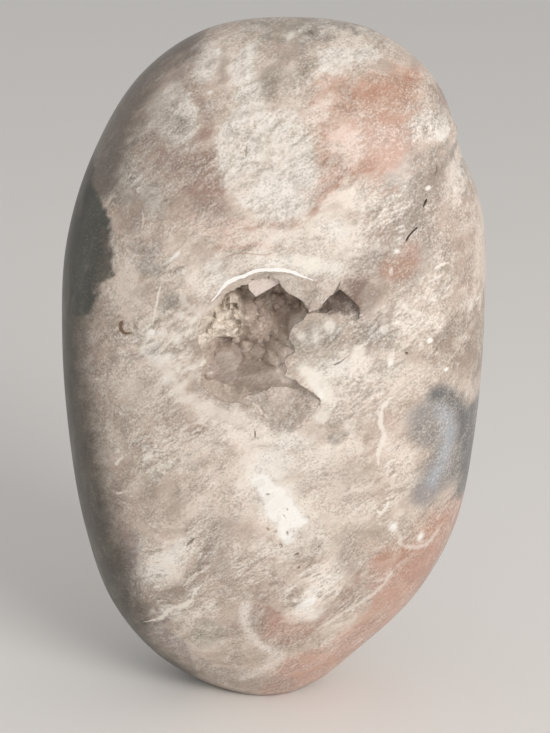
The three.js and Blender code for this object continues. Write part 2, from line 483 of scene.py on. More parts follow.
@dataclass(frozen=True)
class Sheet:
    """A stretch of the front view, divided into small cells."""

    left: float
    right: float
    low: float
    high: float
    cell: float

    def solid(self, name: str, front: Callable[[Array, Array], Array], flat_y: float) -> bpy.types.Mesh:
        """The solid between a relief and a flat plane.

        Args:
            name: The mesh's name.
            front: Gives Y of the relief for arrays of x and z.
            flat_y: Y of the plane that closes the solid.

        Returns:
            A closed mesh with its faces pointing out.
        """
        xs = np.linspace(self.left, self.right, round((self.right - self.left) / self.cell) + 1)
        zs = np.linspace(self.low, self.high, round((self.high - self.low) / self.cell) + 1)
        x, z = (part.ravel() for part in np.meshgrid(xs, zs, indexing="ij"))
        y = front(x, z)
        rows = len(zs)
        number = np.arange(len(x)).reshape(len(xs), rows)
        cells = np.stack([number[:-1, :-1], number[1:, :-1], number[1:, 1:], number[:-1, 1:]], -1)
        ring = np.concatenate([number[:, 0], number[-1, 1:], number[-2::-1, -1], number[0, -2:0:-1]])
        back = np.arange(len(ring)) + len(x)
        points = np.vstack([np.stack([x, y, z], 1),
                            np.stack([x[ring], np.full(len(ring), flat_y), z[ring]], 1)])
        after, back_after = np.roll(ring, -1), np.roll(back, -1)
        walls = np.stack([ring, back, back_after, after], 1)
        faces = [*cells.reshape(-1, 4).tolist(), *walls.tolist(), back[::-1].tolist()]
        if flat_y < y.mean():
            faces = [face[::-1] for face in faces]
        return new_mesh(name, points, faces)


@dataclass(frozen=True)
class Ledge:
    """A shelf inside a hollow: its outline, how deep its centre lies, and its fall towards -Z and -X."""

    outline: Outline
    centre: tuple[float, float]
    depth: float
    slope: float = 0.3
    lean: float = 0.0
    cliff: float = 6.0

    SHALLOWEST = 0.02

    def limit(self, x: Array, z: Array) -> Array:
        """Says how deep the shelf lets the hollow be.

        Args:
            x: X of each point.
            z: Z of each point.

        Returns:
            The depth in millimetres, which grows fast beyond the outline.
        """
        inside = inside_loop(np.array(self.outline), x, z)
        shelf = self.depth + self.slope * (self.centre[1] - z) - self.lean * (x - self.centre[0])
        return np.maximum(shelf, self.SHALLOWEST) + self.cliff * np.maximum(0.0, -inside)


@dataclass(frozen=True)
class Hollow:
    """A hollow of the face: its mouth, the depth of its floor, and the slope of its upper wall."""

    mouth: Outline
    centre: tuple[float, float]
    depth: float
    deeper_upwards: float
    deeper_leftwards: float = 0.0
    shelf: float = 0.0
    wall: float = 0.35
    low_wall: float = 0.35
    ledges: tuple[Ledge, ...] = ()
    ragged: float = 1.0

    MOUTH_STEPS = 3
    WAVE = 0.14
    WAVE_SIZE = 1.3
    CHIP = 0.05
    CHIP_SIZE = 0.3
    CHIP_SHIFT = 5.0
    PROBE = 0.1
    PROBE_GAIN = 10.0
    FLOOR_WAVE = 0.25
    FLOOR_WAVE_SIZE = 1.6
    FLOOR_WAVE_SHIFT = 9.0
    BANK_RIM = 0.15
    BANK_SLOPE = 1.25
    WALL_POWER = 0.7
    OUTSIDE_SLOPE = 6.0
    OUTSIDE_GAP = 0.02
    OUTSIDE_LIMIT = -2.5

    def floor_depth(self, x: Array, z: Array) -> Array:
        """How deep the floor lies under the face."""
        return (self.depth + self.deeper_upwards * (z - self.centre[1])
                - self.deeper_leftwards * (x - self.centre[0]))

    def inside(self, x: Array, z: Array, noise: LatticeNoise) -> Array:
        """Measures points of the front view against the roughened mouth.

        Args:
            x: X of each point.
            z: Z of each point.
            noise: What roughens the lip.

        Returns:
            The distance in millimetres, negative outside the mouth.
        """
        flat = front_points(x, z)
        inside = inside_loop(curve_through(self.mouth, closed=True, steps=self.MOUTH_STEPS), x, z)
        wave = self.WAVE * noise.rough(flat, self.WAVE_SIZE)
        return inside + self.ragged * (wave + self.CHIP * noise.at(flat + self.CHIP_SHIFT, self.CHIP_SIZE))

    def cut_depth(self, x: Array, z: Array, noise: LatticeNoise) -> Array:
        """How deep the hollow goes at points of the front view, below 0 outside it.

        Args:
            x: X of the points.
            z: Z of the points.
            noise: What roughens the lip and the walls.

        Returns:
            The depth under the face, in millimetres.
        """
        inside = self.inside(x, z, noise)
        rise = (self.inside(x, z + self.PROBE, noise) - inside) * self.PROBE_GAIN
        shelf = self.shelf * np.clip(-rise, 0.0, 1.0)
        wall = self.wall + (self.low_wall - self.wall) * np.clip(rise, 0.0, 1.0)
        floor = self.floor_depth(x, z) + self.FLOOR_WAVE * noise.rough(
            front_points(x, z) + self.FLOOR_WAVE_SHIFT, self.FLOOR_WAVE_SIZE)
        bank = np.minimum(self.BANK_RIM + self.BANK_SLOPE * inside, np.maximum(floor, 0.0))
        drop = np.clip((inside - shelf) / wall, 0.0, 1.0) ** self.WALL_POWER
        depth = bank + (floor - bank) * drop
        for ledge in self.ledges:
            depth = np.minimum(depth, ledge.limit(x, z))
        outside = np.maximum(inside * self.OUTSIDE_SLOPE - self.OUTSIDE_GAP, self.OUTSIDE_LIMIT)
        return np.where(inside > 0, depth, outside)


POCKET = Hollow(
    mouth=((-5.8, 49.0), (-4.6, 50.6), (-3.0, 51.5), (-1.0, 52.3), (1.2, 52.4), (3.0, 52.1), (4.6, 51.6),
           (5.0, 51.2), (4.8, 50.0), (4.2, 48.6), (3.6, 47.4), (2.6, 46.6), (2.1, 45.3), (2.8, 44.1),
           (1.7, 43.1), (1.9, 41.6), (-0.3, 39.1), (-4.1, 38.1), (-6.9, 39.7), (-6.8, 42.7), (-7.4, 45.3),
           (-6.7, 47.7)),
    centre=(-1.5, 46.0), depth=5.4, deeper_upwards=0.3, shelf=1.3, wall=0.4, low_wall=0.9,
    ledges=(Ledge(((-1.2, 53.5), (6.5, 53.5), (6.0, 47.8), (4.4, 47.9), (4.0, 48.6), (3.5, 49.2), (2.8, 49.6),
                   (2.0, 49.9), (1.4, 50.5), (1.1, 51.2), (0.2, 51.4)), (1.0, 51.0), 0.95, 0.15, 0.33),))
APRON = Hollow(
    mouth=((-4.4, 42.2), (1.6, 41.4), (3.0, 40.7), (4.2, 39.6), (5.4, 38.5), (5.0, 37.6), (4.2, 36.6),
           (3.3, 35.5), (2.6, 34.9), (1.2, 35.1), (0.0, 36.2), (-1.4, 36.9), (-3.0, 38.1)),
    centre=(1.5, 38.8), depth=0.95, deeper_upwards=0.25, deeper_leftwards=0.12, wall=0.6, low_wall=2.4,
    ragged=1.6)
SIDE_POCKET = Hollow(
    mouth=((5.0, 48.1), (6.2, 49.4), (7.1, 50.6), (7.6, 50.3), (8.2, 49.9), (8.9, 49.3), (9.3, 48.6),
           (9.2, 47.5), (8.7, 47.5), (8.1, 48.0), (7.4, 48.2), (6.7, 48.5), (6.0, 48.2)),
    centre=(7.3, 49.4), depth=1.4, deeper_upwards=0.2, deeper_leftwards=0.4, wall=0.45, ragged=1.8)
SEAM = Hollow(
    mouth=((16.3, 59.5), (16.0, 59.2), (15.85, 58.8), (15.85, 58.5), (16.05, 58.7), (16.2, 59.0),
           (16.35, 59.35)),
    centre=(16.2, 59.0), depth=0.6, deeper_upwards=0.0, wall=0.15, low_wall=0.15, ragged=0.3)
CRACK = Hollow(
    mouth=((15.3, 56.75), (14.75, 56.4), (14.3, 55.9), (14.05, 55.35), (14.22, 55.35), (14.52, 55.85),
           (14.95, 56.25), (15.35, 56.65)),
    centre=(14.9, 56.1), depth=0.8, deeper_upwards=0.0, wall=0.12, low_wall=0.12, ragged=0.3)


@dataclass(frozen=True)
class Pit:
    """A small natural hole in the polished face."""

    x: float
    z: float
    wide: float
    tall: float
    depth: float
    turn: float = 0.0


PITS = (
    Pit(-0.1, 27.8, 0.30, 0.12, 0.5), Pit(2.0, 26.1, 0.14, 0.14, 0.4), Pit(1.6, 25.3, 0.20, 0.36, 0.3, 20),
    Pit(2.0, 23.3, 0.16, 0.36, 0.5, 10), Pit(0.7, 23.5, 0.32, 0.16, 0.4, 20),
    Pit(-0.1, 23.7, 0.22, 0.26, 0.4), Pit(1.3, 21.9, 0.22, 0.24, 0.3, 40),
    Pit(3.0, 20.9, 0.34, 0.18, 0.5, 30), Pit(-1.4, 34.7, 0.08, 0.50, 0.4),
    Pit(-2.3, 64.4, 0.20, 0.62, 0.3, -8), Pit(16.1, 66.1, 0.26, 0.55, 0.3, 15),
    Pit(5.4, 21.8, 0.25, 0.10, 0.3, 30), Pit(-1.4, 66.8, 0.24, 0.18, 0.15),
    Pit(14.3, 43.7, 0.20, 0.16, 0.3), Pit(3.2, 19.3, 0.25, 0.12, 0.3, 30),
)


class Stone:
    """The polished stone with its hollows, as one closed piece that stands for the node stone."""

    CELLS = (114, 43, 183)
    HALF_BOX = np.array([23.5, 13.0, 39.0])
    SPREAD = 0.8
    OUT_OF_FACE_Y = -22.0
    SHARP = math.radians(38)
    POCKET_SHEET = Sheet(-9.0, 12.0, 33.5, 54.0, 0.13)
    CRACK_SHEET = Sheet(13.6, 17.4, 54.4, 60.4, 0.08)
    PIT_REACH = 1.6
    PIT_CELLS = 14
    PIT_WOBBLE = 0.25
    PIT_WOBBLE_SIZE = 0.15
    PIT_RIM_SLOPE = 1.5

    def __init__(self, pebble: Pebble, noise: LatticeNoise) -> None:
        """Takes the pebble's skin and the noise that roughens its hollows."""
        self.pebble = pebble
        self.noise = noise

    def blank(self) -> bpy.types.Mesh:
        """Makes the pebble before its hollows are cut, with its ground flat.

        Returns:
            The closed mesh.
        """
        lattice, faces = box_shell(self.CELLS)
        corner = math.pi / 4 * self.SPREAD
        eased = np.tan(lattice * math.pi / 4 * self.SPREAD) / math.tan(corner)
        middle = np.array([self.pebble.centre[0], 0.0, self.pebble.centre[1]])
        points = self.pebble.skin(middle + eased * self.HALF_BOX)
        points[:, 2] = np.maximum(points[:, 2], 0.0)
        return new_mesh("stone_blank", points, faces)

    def cutter(self, sheet: Sheet, hollows: Sequence[Hollow]) -> bpy.types.Mesh:
        """Makes the air of some hollows.

        Args:
            sheet: The stretch of the front view that the hollows lie in.
            hollows: The hollows.

        Returns:
            The air as a solid that reaches out of the face.
        """
        def relief(x: Array, z: Array) -> Array:
            """Y of the bottom of the air."""
            deepest = np.max([h.cut_depth(x, z, self.noise) for h in hollows], axis=0)
            return self.pebble.face_y(x, z) + deepest
        return sheet.solid("hollow_air", relief, self.OUT_OF_FACE_Y)

    def pit_air(self, pit: Pit) -> bpy.types.Mesh:
        """Makes the air of one pit.

        Args:
            pit: The pit.

        Returns:
            The air as a small rounded wedge that reaches out of the face.
        """
        reach = self.PIT_REACH * max(pit.wide, pit.tall)
        sheet = Sheet(pit.x - reach, pit.x + reach, pit.z - reach, pit.z + reach, reach / self.PIT_CELLS)

        def relief(x: Array, z: Array) -> Array:
            """Says where the air ends.

            Args:
                x: X of each point.
                z: Z of each point.

            Returns:
                Y of the bottom of the air.
            """
            across, up = own_axes(x, z, (pit.x, pit.z), pit.turn)
            away = np.hypot(across / pit.wide, up / pit.tall)
            away += self.PIT_WOBBLE * self.noise.at(front_points(x, z), self.PIT_WOBBLE_SIZE)
            depth = np.where(away < 1, pit.depth * (1 - away**2), (1 - away) * self.PIT_RIM_SLOPE)
            return self.pebble.face_y(x, z) + depth
        return sheet.solid("pit_air", relief, self.OUT_OF_FACE_Y)

    def build(self) -> bpy.types.Object:
        """Cuts the hollows out of the pebble.

        Returns:
            The stone.
        """
        airs = [
            self.cutter(self.POCKET_SHEET, (POCKET, APRON, SIDE_POCKET)),
            self.cutter(self.CRACK_SHEET, (SEAM, CRACK)),
            *(self.pit_air(pit) for pit in PITS),
        ]
        return add_piece("palm_stone", put_together(self.blank(), airs, Join.CUT), self.SHARP)


class Side(Enum):
    """The part of the stone that a tint covers."""

    FRONT = 1
    BACK = -1
    ALL = 0


@dataclass(frozen=True)
class Blob:
    """An oval mark of the front view."""

    x: float
    z: float
    wide: float
    tall: float
    turn: float = 0.0

    def inside(self, x: Array, z: Array) -> Array:
        """Distance into the mark in millimetres, negative outside it."""
        across, up = own_axes(x, z, (self.x, self.z), self.turn)
        return (1.0 - np.hypot(across / self.wide, up / self.tall)) * min(self.wide, self.tall)


@dataclass(frozen=True)
class Patch:
    """A mark of the front view with a drawn outline."""

    points: Outline

    def inside(self, x: Array, z: Array) -> Array:
        """Distance into the mark in millimetres, negative outside it."""
        return inside_loop(curve_through(self.points, closed=True, steps=MARK_STEPS), x, z)


@dataclass(frozen=True)
class Trail:
    """A band of the front view along a drawn line."""

    points: Outline
    width: float

    def inside(self, x: Array, z: Array) -> Array:
        """Distance into the mark in millimetres, negative outside it."""
        line = curve_through(self.points, closed=False, steps=MARK_STEPS)
        return self.width / 2 - np.abs(nearest_on(line, x, z).offset)


Mark = Blob | Patch | Trail


class Tip(Enum):
    """How a quartz crystal ends."""

    POINT = "point"
    FACET = "facet"


@dataclass(frozen=True)
class Crystal:
    """A six-sided quartz crystal, rooted at a point of the hollow's floor.

    The crystals listed one by one give the root's depth under the face in place of its Y.
    """

    root: tuple[float, float, float]
    lean: tuple[float, float]
    radius: float
    rise: float
    twist: float
    tip: Tip = Tip.POINT
    skew: float = 0.3

    SIDES = 6
    ROOT_LENGTH = 1.2
    TIP_SLOPE = 1.1
    FACET_SHARE = 0.78
    FACET_SKEW = 0.3
    FACET_RISE = 0.3

    def mesh(self) -> bpy.types.Mesh:
        """Makes the crystal.

        Returns:
            The closed mesh, with flat faces.
        """
        angles = np.arange(self.SIDES) * math.pi / 3 + self.twist
        ring = np.stack([np.cos(angles), np.sin(angles)], 1)
        shoulder = ring * self.radius
        aside = np.array([math.cos(self.twist), math.sin(self.twist)]) * self.skew * self.radius
        layers = [(shoulder, -self.ROOT_LENGTH), (shoulder, self.rise)]
        if self.tip is Tip.FACET:
            layers.append((shoulder * self.FACET_SHARE + aside * self.FACET_SKEW,
                           self.rise + self.FACET_RISE * self.radius))
        points = np.vstack([np.column_stack([flat, np.full(self.SIDES, height)]) for flat, height in layers])
        sides = range(self.SIDES)
        faces = [list(sides)[::-1]]
        top = (len(layers) - 1) * self.SIDES
        for level in range(0, top, self.SIDES):
            for side in sides:
                here, there = level + side, level + (side + 1) % self.SIDES
                faces.append([here, there, there + self.SIDES, here + self.SIDES])
        if self.tip is Tip.FACET:
            faces.append([top + side for side in sides])
        else:
            points = np.vstack([points, [*aside, self.rise + self.TIP_SLOPE * self.radius]])
            faces += [[top + side, top + (side + 1) % self.SIDES, len(points) - 1] for side in sides]
        axis = Vector((self.lean[0], -1.0, self.lean[1])).normalized()
        turn = np.array(axis.to_track_quat("Z", "Y").to_matrix())
        return new_mesh("crystal", points @ turn.T + np.array(self.root), faces)


@dataclass(frozen=True)
class Mound:
    """A rounded lump of chalcedony on the hollow's floor, and how deep its top lies under the face."""

    x: float
    z: float
    radius: float
    top: float


class CrystalCrust:
    """The druzy lining of the pocket and its apron, which stands for the node crystal_crust."""

    BED = 0.75
    BED_SHEET = Sheet(-8.0, 6.0, 34.5, 53.2, 0.13)
    DEEPEST = 9.0
    BACK_Y = -4.6
    CLEAR_OF_FACE = 0.12
    SHARP = math.radians(24)
    APRON_TOP = 41.6
    APRON_TOP_FALL = 0.25
    APRON_MIDDLE_X = -1.0
    APRON_EASE = 0.6
    APRON_LIFT = 0.8
    APRON_BLEND = (38.0, 41.0)
    BANK_RIM = 0.3
    BANK_SLOPE = 1.6
    BANK_BELOW_Z = 46.5
    BANK_BELOW_EASE = 1.5
    BANK_LEFT_OF_X = -4.5
    BANK_LEFT_EASE = 1.0
    BANK_LEFT_TOP = 50.0
    MOUND_FALL = 0.9
    MOUND_EASE = 0.15
    ROUGH = 0.22
    ROUGH_SIZE = 0.9
    GRIT = 0.08
    GRIT_SIZE = 0.22
    APRON_SMOOTHNESS = 0.75
    MOUNDS = (
        Mound(-1.0, 45.3, 1.9, 2.5), Mound(-2.4, 46.4, 1.1, 2.4), Mound(2.0, 43.3, 0.9, 0.8),
        Mound(0.8, 42.3, 0.9, 1.2), Mound(-6.4, 41.0, 0.9, 0.5), Mound(1.4, 41.2, 0.8, 0.8),
    )
    KNOBS = Patch(((-6.9, 47.2), (-5.4, 49), (-3.2, 49.2), (-2.9, 47), (-2.8, 44.6), (-5, 44.2),
                   (-7.2, 44.4)))
    LACE_SIZE = 0.85
    LACE_DEPTH = 1.1
    LACE_SHARPNESS = 3.2
    LACE_SWAY = 0.5
    LACE_SWAY_SIZE = 1.2
    LACE_SWAY_SHIFTS = (31.0, 47.0, 59.0)
    LACE_TOP = 1.0
    LACE_LEAN = 0.36
    LACE_LEFT = 7.0
    LACE_EASE = 0.3
    LARGE_CRYSTALS = (
        Crystal((-4.5, 3.5, 41.9), (-0.12, -0.12), 1.95, 0.9, 0.15, Tip.FACET),
        Crystal((-6.0, 3.0, 40.2), (0.3, 0.2), 1.0, 0.7, 0.6, Tip.POINT),
        Crystal((-2.9, 3.2, 40.0), (-0.3, 0.4), 1.1, 0.5, 0.2, Tip.POINT),
        Crystal((-0.9, 4.4, 42.2), (0.2, 0.3), 1.3, 0.6, 0.9, Tip.POINT),
        Crystal((2.6, 6.2, 48.6), (-0.3, 0.1), 1.2, 0.8, 0.4, Tip.POINT),
        Crystal((1.2, 6.0, 47.6), (0.1, 0.3), 1.0, 0.7, 0.1, Tip.POINT),
    )
    FLAKE = ((-2.3, 53.2), (0.8, 53.2), (1.2, 50.7), (-1.3, 49.1), (-2.0, 49.9))
    FLAKE_DEPTH = 1.3
    FLAKE_LEAN = 0.25
    FLAKE_TOP = 52.4
    FLAKE_THICKNESS = 1.0
    SEED = 11
    SPACING = 1.15
    SCATTER_X = (-7.0, 5.5)
    SCATTER_Z = (35.5, 52.5)
    SCATTER_BOTTOM = 41.5
    CLEAR_OF_MOUTH = 0.2
    CLEAR_OF_KNOBS = -0.3
    FULL_SIZE_DEPTH = 4.0
    SMALLEST_SHARE = 0.4
    SUNK = 0.25
    LEAN_SPREAD = 0.9
    LEAN_UP = 0.2
    LEAST_RADIUS = 0.35
    RADIUS_SPREAD = 0.4
    LEAST_RISE = 0.15
    RISE_SPREAD = 0.5
    TWIST_SPREAD = 3.0

    def __init__(self, pebble: Pebble, noise: LatticeNoise) -> None:
        """Takes the pebble's skin and the noise that roughens the crust."""
        self.pebble = pebble
        self.noise = noise

    def lace(self, x: Array, z: Array) -> Array:
        """How high the lacy ridges at the pocket's left stand.

        Args:
            x: X of each point.
            z: Z of each point.

        Returns:
            The height, from 0 in the gaps to 1.
        """
        flat = front_points(x, z)
        sways = [self.noise.at(flat + shift, self.LACE_SWAY_SIZE) for shift in self.LACE_SWAY_SHIFTS]
        sway = np.stack(sways, 1)
        swell = self.noise.at(flat + self.LACE_SWAY * sway, self.LACE_SIZE)
        return 1.0 - np.clip(np.abs(swell) * self.LACE_SHARPNESS, 0.0, 1.0)

    def in_mouths(self, x: Array, z: Array) -> Array:
        """Distance into the pocket's mouth or its apron's, negative outside both."""
        return np.max([inside_loop(np.array(hollow.mouth), x, z) for hollow in (POCKET, APRON)], axis=0)

    def bank(self, x: Array, z: Array) -> tuple[Array, Array]:
        """Says how deep the bed may lie near the mouth's left and lower edge, and how much that counts.

        Args:
            x: X of each point.
            z: Z of each point.

        Returns:
            The greatest depth, and its share from 0 to 1.
        """
        left = smooth_step(self.BANK_LEFT_OF_X - x, 0.0, self.BANK_LEFT_EASE) * (z < self.BANK_LEFT_TOP)
        share = np.maximum(smooth_step(self.BANK_BELOW_Z - z, 0.0, self.BANK_BELOW_EASE), left)
        return self.BANK_RIM + self.BANK_SLOPE * np.maximum(self.in_mouths(x, z), 0.0), share

    def bed_depth(self, x: Array, z: Array) -> Array:
        """How deep the grown bed lies under the face at points of the front view.

        Args:
            x: X of each point.
            z: Z of each point.

        Returns:
            The depth in millimetres.
        """
        flat = front_points(x, z)
        depth = np.minimum(POCKET.floor_depth(x, z), self.DEEPEST) - self.BED
        in_apron = smooth_step(self.APRON_TOP - z + self.APRON_TOP_FALL * (x - self.APRON_MIDDLE_X),
                               -self.APRON_EASE, self.APRON_EASE)
        apron = APRON.floor_depth(x, z) + self.APRON_LIFT
        apron = apron - (self.BED + self.APRON_LIFT) * smooth_step(z, *self.APRON_BLEND)
        depth += (apron - depth) * in_apron
        for mound in self.MOUNDS:
            away = np.hypot(x - mound.x, z - mound.z) / mound.radius
            lump = mound.top + self.MOUND_FALL * mound.radius * away**2
            keep = smooth_step(depth - lump, -self.MOUND_EASE, self.MOUND_EASE)
            depth = depth + (lump - depth) * keep
        in_lace = smooth_step(self.KNOBS.inside(x, z), -self.LACE_EASE, self.LACE_EASE)
        lacy = self.LACE_TOP + self.LACE_LEAN * (x + self.LACE_LEFT)
        lacy = lacy + self.LACE_DEPTH * (1.0 - self.lace(x, z))
        depth = depth + (lacy - depth) * in_lace
        bank, share = self.bank(x, z)
        depth = depth + (np.minimum(depth, bank) - depth) * share
        rough = self.ROUGH * self.noise.rough(flat, self.ROUGH_SIZE)
        rough = rough + self.GRIT * self.noise.at(flat, self.GRIT_SIZE)
        return depth + (1.0 - self.APRON_SMOOTHNESS * in_apron) * rough

    def bed(self) -> bpy.types.Mesh:
        """Makes the grown bed.

        Returns:
            The bed as a solid that reaches back into the stone.
        """
        def relief(x: Array, z: Array) -> Array:
            """Y of the bed's surface."""
            return self.pebble.face_y(x, z) + self.bed_depth(x, z)
        return self.BED_SHEET.solid("crust_bed", relief, self.BACK_Y)

    def face_at(self, x: float, z: float) -> float:
        """Y of the show face at one point of the front view."""
        return float(self.pebble.face_y(np.array([x]), np.array([z]))[0])

    def set_crystals(self) -> list[Crystal]:
        """The large crystals, with their roots at their depth under the face."""
        return [replace(crystal, root=(x, self.face_at(x, z) + depth, z))
                for crystal in self.LARGE_CRYSTALS for x, depth, z in (crystal.root,)]

    def scattered_crystals(self) -> list[Crystal]:
        """Scatters small crystals over the bed, smaller where it lies high.

        Returns:
            The crystals, the same ones at each run.
        """
        made = []
        draw = np.random.default_rng(self.SEED)
        for x in np.arange(*self.SCATTER_X, self.SPACING):
            for z in np.arange(*self.SCATTER_Z, self.SPACING):
                place = np.array([[x, z]]) + draw.uniform(-0.5, 0.5, (1, 2)) * self.SPACING
                size, lean_x, lean_z, twist = draw.uniform(size=4)
                at_x, at_z = place.T
                depth = float(self.bed_depth(at_x, at_z)[0])
                in_knobs = self.KNOBS.inside(at_x, at_z)[0] > self.CLEAR_OF_KNOBS
                if self.in_mouths(at_x, at_z)[0] < self.CLEAR_OF_MOUTH or in_knobs or z < self.SCATTER_BOTTOM:
                    continue
                scale = np.clip(depth / self.FULL_SIZE_DEPTH, self.SMALLEST_SHARE, 1.0)
                y = self.face_at(at_x[0], at_z[0]) + depth + self.SUNK
                lean = ((lean_x - 0.5) * self.LEAN_SPREAD, (lean_z - 0.5) * self.LEAN_SPREAD + self.LEAN_UP)
                radius = float((self.LEAST_RADIUS + self.RADIUS_SPREAD * size) * scale)
                rise = float((self.LEAST_RISE + self.RISE_SPREAD * lean_x) * scale)
                made.append(Crystal((float(at_x[0]), y, float(at_z[0])), lean, radius, rise,
                                    twist * self.TWIST_SPREAD))
        return made

    def flake(self) -> bpy.types.Mesh:
        """Makes the angular plate that hangs from the pocket's ceiling.

        Returns:
            The closed mesh.
        """
        x, z = np.array(self.FLAKE).T
        count = len(x)
        y = self.pebble.face_y(x, z) + self.FLAKE_DEPTH + self.FLAKE_LEAN * (self.FLAKE_TOP - z)
        front = np.column_stack([x, y, z])
        back = front + np.array([0.0, self.FLAKE_THICKNESS, 0.0])
        ring = list(range(count))
        sides = [[i, (i + 1) % count, count + (i + 1) % count, count + i] for i in ring]
        mesh = new_mesh("flake", np.vstack([front, back]), [ring[::-1], [count + i for i in ring], *sides])
        solid_volume = sum(p.area * p.normal.dot(p.center) for p in mesh.polygons)
        if solid_volume < 0:
            mesh.flip_normals()
        return mesh

    def build(self, room: bpy.types.Mesh) -> bpy.types.Object:
        """Joins bed and crystals, and keeps what lies in the hollow.

        Args:
            room: The air of the hollow as a solid, a little wider than the hollow itself.

        Returns:
            The crust.
        """
        made = self.set_crystals() + self.scattered_crystals()
        crystals = [self.flake(), *(crystal.mesh() for crystal in made)]
        LOG.info("crust has %d crystals", len(crystals))
        mesh = put_together(self.bed(), crystals, Join.ADD)
        mesh = put_together(mesh, [room], Join.KEEP_SHARED)
        points = points_of(mesh)
        face = self.pebble.face_y(points[:, 0], points[:, 2])
        points[:, 1] = np.maximum(points[:, 1], face + self.CLEAR_OF_FACE)
        set_points(mesh, points)
        return add_piece("quartz_crust", mesh, self.SHARP)


@dataclass(frozen=True)
class Tint:
    """A colour of the rock and where it lies.

    Soft is how wide its edge fades, and ragged how far the edge wanders, both in millimetres.
    """

    name: str
    colour: str
    soft: float
    ragged: float
    marks: tuple[Mark, ...]
    strength: float = 1.0
    side: Side = Side.FRONT

    OFF = -6.0
    WRAP = 1.0
    WRAP_FALL = 0.9
    WRAP_END = 4.0
    STRAY = 1.4
    STRAY_REACH = (-1.5, 2.5)

    def field(self, points: Array, stray: Array) -> Array:
        """Distance into the tint at points of the stone, negative outside it.

        Args:
            points: Rows of X, Y, Z.
            stray: A noise that breaks the edges where the tint goes round the stone's side.

        Returns:
            The distance in millimetres.
        """
        x, y, z = points.T
        value = np.max([mark.inside(x, z) for mark in self.marks], axis=0)
        if self.side is not Side.ALL:
            behind = y * self.side.value
            value = value + self.STRAY * (stray - 1.0) * smooth_step(behind, *self.STRAY_REACH)
            value = value - self.WRAP_FALL * np.maximum(0.0, behind - self.WRAP)
            value = np.minimum(value, self.WRAP_END - behind)
        return np.maximum(value, self.OFF)


@dataclass(frozen=True)
class Zone:
    """A part of the front view that patterns keep to, with no colour of its own."""

    name: str
    marks: tuple[Mark, ...]

    def field(self, points: Array, stray: Array) -> Array:
        """Distance into the zone at points of the stone, negative outside it."""
        return Tint(self.name, "", 0.0, 0.0, self.marks).field(points, stray)


@dataclass(frozen=True)
class Vein:
    """A thin line of the front view and half its width."""

    points: Outline
    half_width: float


@dataclass(frozen=True)
class VeinSet:
    """Veins of one colour, drawn by their signed distance so that they stay thinner than the mesh is fine."""

    name: str
    colour: str
    veins: tuple[Vein, ...]
    strength: float = 1.0
    soft: float = 0.35
    side: Side = Side.FRONT

    STEPS = 5
    NEAR = 0.7
    FAR = 1.3
    TAPER = 0.12
    THINNEST = 0.25
    END = 1e-6
    FAR_OFF = 9.0

    def fields(self, points: Array) -> tuple[Array, Array]:
        """The veins at points of the stone.

        Args:
            points: Rows of X, Y, Z.

        Returns:
            The signed distance over half the width, and how much the vein counts there.
        """
        x, y, z = points.T
        best = np.full(len(points), np.inf)
        ratio = np.full(len(points), self.FAR_OFF)
        strength = np.zeros(len(points))
        for vein in self.veins:
            near = nearest_on(curve_through(vein.points, closed=False, steps=self.STEPS), x, z)
            away = np.abs(near.offset)
            nearer = away < best
            end = np.minimum(near.along, 1.0 - near.along)
            half = vein.half_width * np.clip(end / self.TAPER, self.THINNEST, 1.0)
            shown = (end > self.END) * (y * self.side.value < 0)
            keep = (1.0 - smooth_step(away, self.NEAR, self.FAR)) * shown
            best = np.where(nearer, away, best)
            ratio = np.where(nearer, np.clip(near.offset / half, -self.FAR_OFF, self.FAR_OFF), ratio)
            strength = np.where(nearer, keep, strength)
        return ratio, strength


CHALK = "#F8F2E8"
DUST = "#84776A"


@dataclass(frozen=True)
class Mottle:
    """A pattern of lighter and darker rock.

    Along and across are the grain's length and width in millimetres, and turn is its slope in degrees. The
    painted emboss shift sets how far the pattern is compared with itself, which paints light and shade into
    the colour as if low folds were lit from one side. Relief is the height of the pattern as real bumps, in
    millimetres, and gate names the marks that the pattern keeps to.
    """

    along: float
    across: float
    turn: float
    light: float
    dark: float
    light_colour: str = "#F6EFE4"
    dark_colour: str = DUST
    detail: float = 3.0
    gain: float = 4.0
    painted_emboss_shift: float = 0.0
    relief: float = 0.0
    gate: str = ""
    patchy: float = 0.0
    bar: float = 0.0


def linear(colour: str, alpha: float = 1.0) -> tuple[float, float, float, float]:
    """Turns an sRGB hex colour into the linear one that the shaders take.

    Args:
        colour: An sRGB colour such as #C9B8AA.
        alpha: How opaque it is.

    Returns:
        Red, green, blue and alpha.
    """
    shares = [int(colour[place:place + 2], 16) / 255 for place in (1, 3, 5)]
    red, green, blue = (s / 12.92 if s <= 0.04045 else ((s + 0.055) / 1.055) ** 2.4 for s in shares)
    return red, green, blue, alpha


class Recipe:
    """A material's nodes."""

    def __init__(self, name: str) -> None:
        """Makes an empty material.

        Args:
            name: The material's name.
        """
        self.material = bpy.data.materials.new(name)
        self.material.use_nodes = True
        self.tree = self.material.node_tree
        self.tree.nodes.clear()

    def add(self, kind: str, inputs: Sequence[Any] | dict[str | int, Any], output: int = 0,
            **settings: Any) -> Any:
        """Adds a node with its settings and links.

        Args:
            kind: Blender's name of the node, without the part that all shader nodes share.
            inputs: For each socket, in order or by name or number, a value or the socket that feeds it.
            output: Which of the node's outputs is wanted.
            settings: The node's own settings.

        Returns:
            The wanted output socket, or the node itself if it has no output.
        """
        node = self.tree.nodes.new("ShaderNode" + kind)
        for name, value in settings.items():
            setattr(node, name, value)
        for name, value in inputs.items() if isinstance(inputs, dict) else enumerate(inputs):
            if isinstance(value, bpy.types.NodeSocket):
                self.tree.links.new(value, node.inputs[name])
            else:
                node.inputs[name].default_value = value
        return node.outputs[output] if len(node.outputs) else node


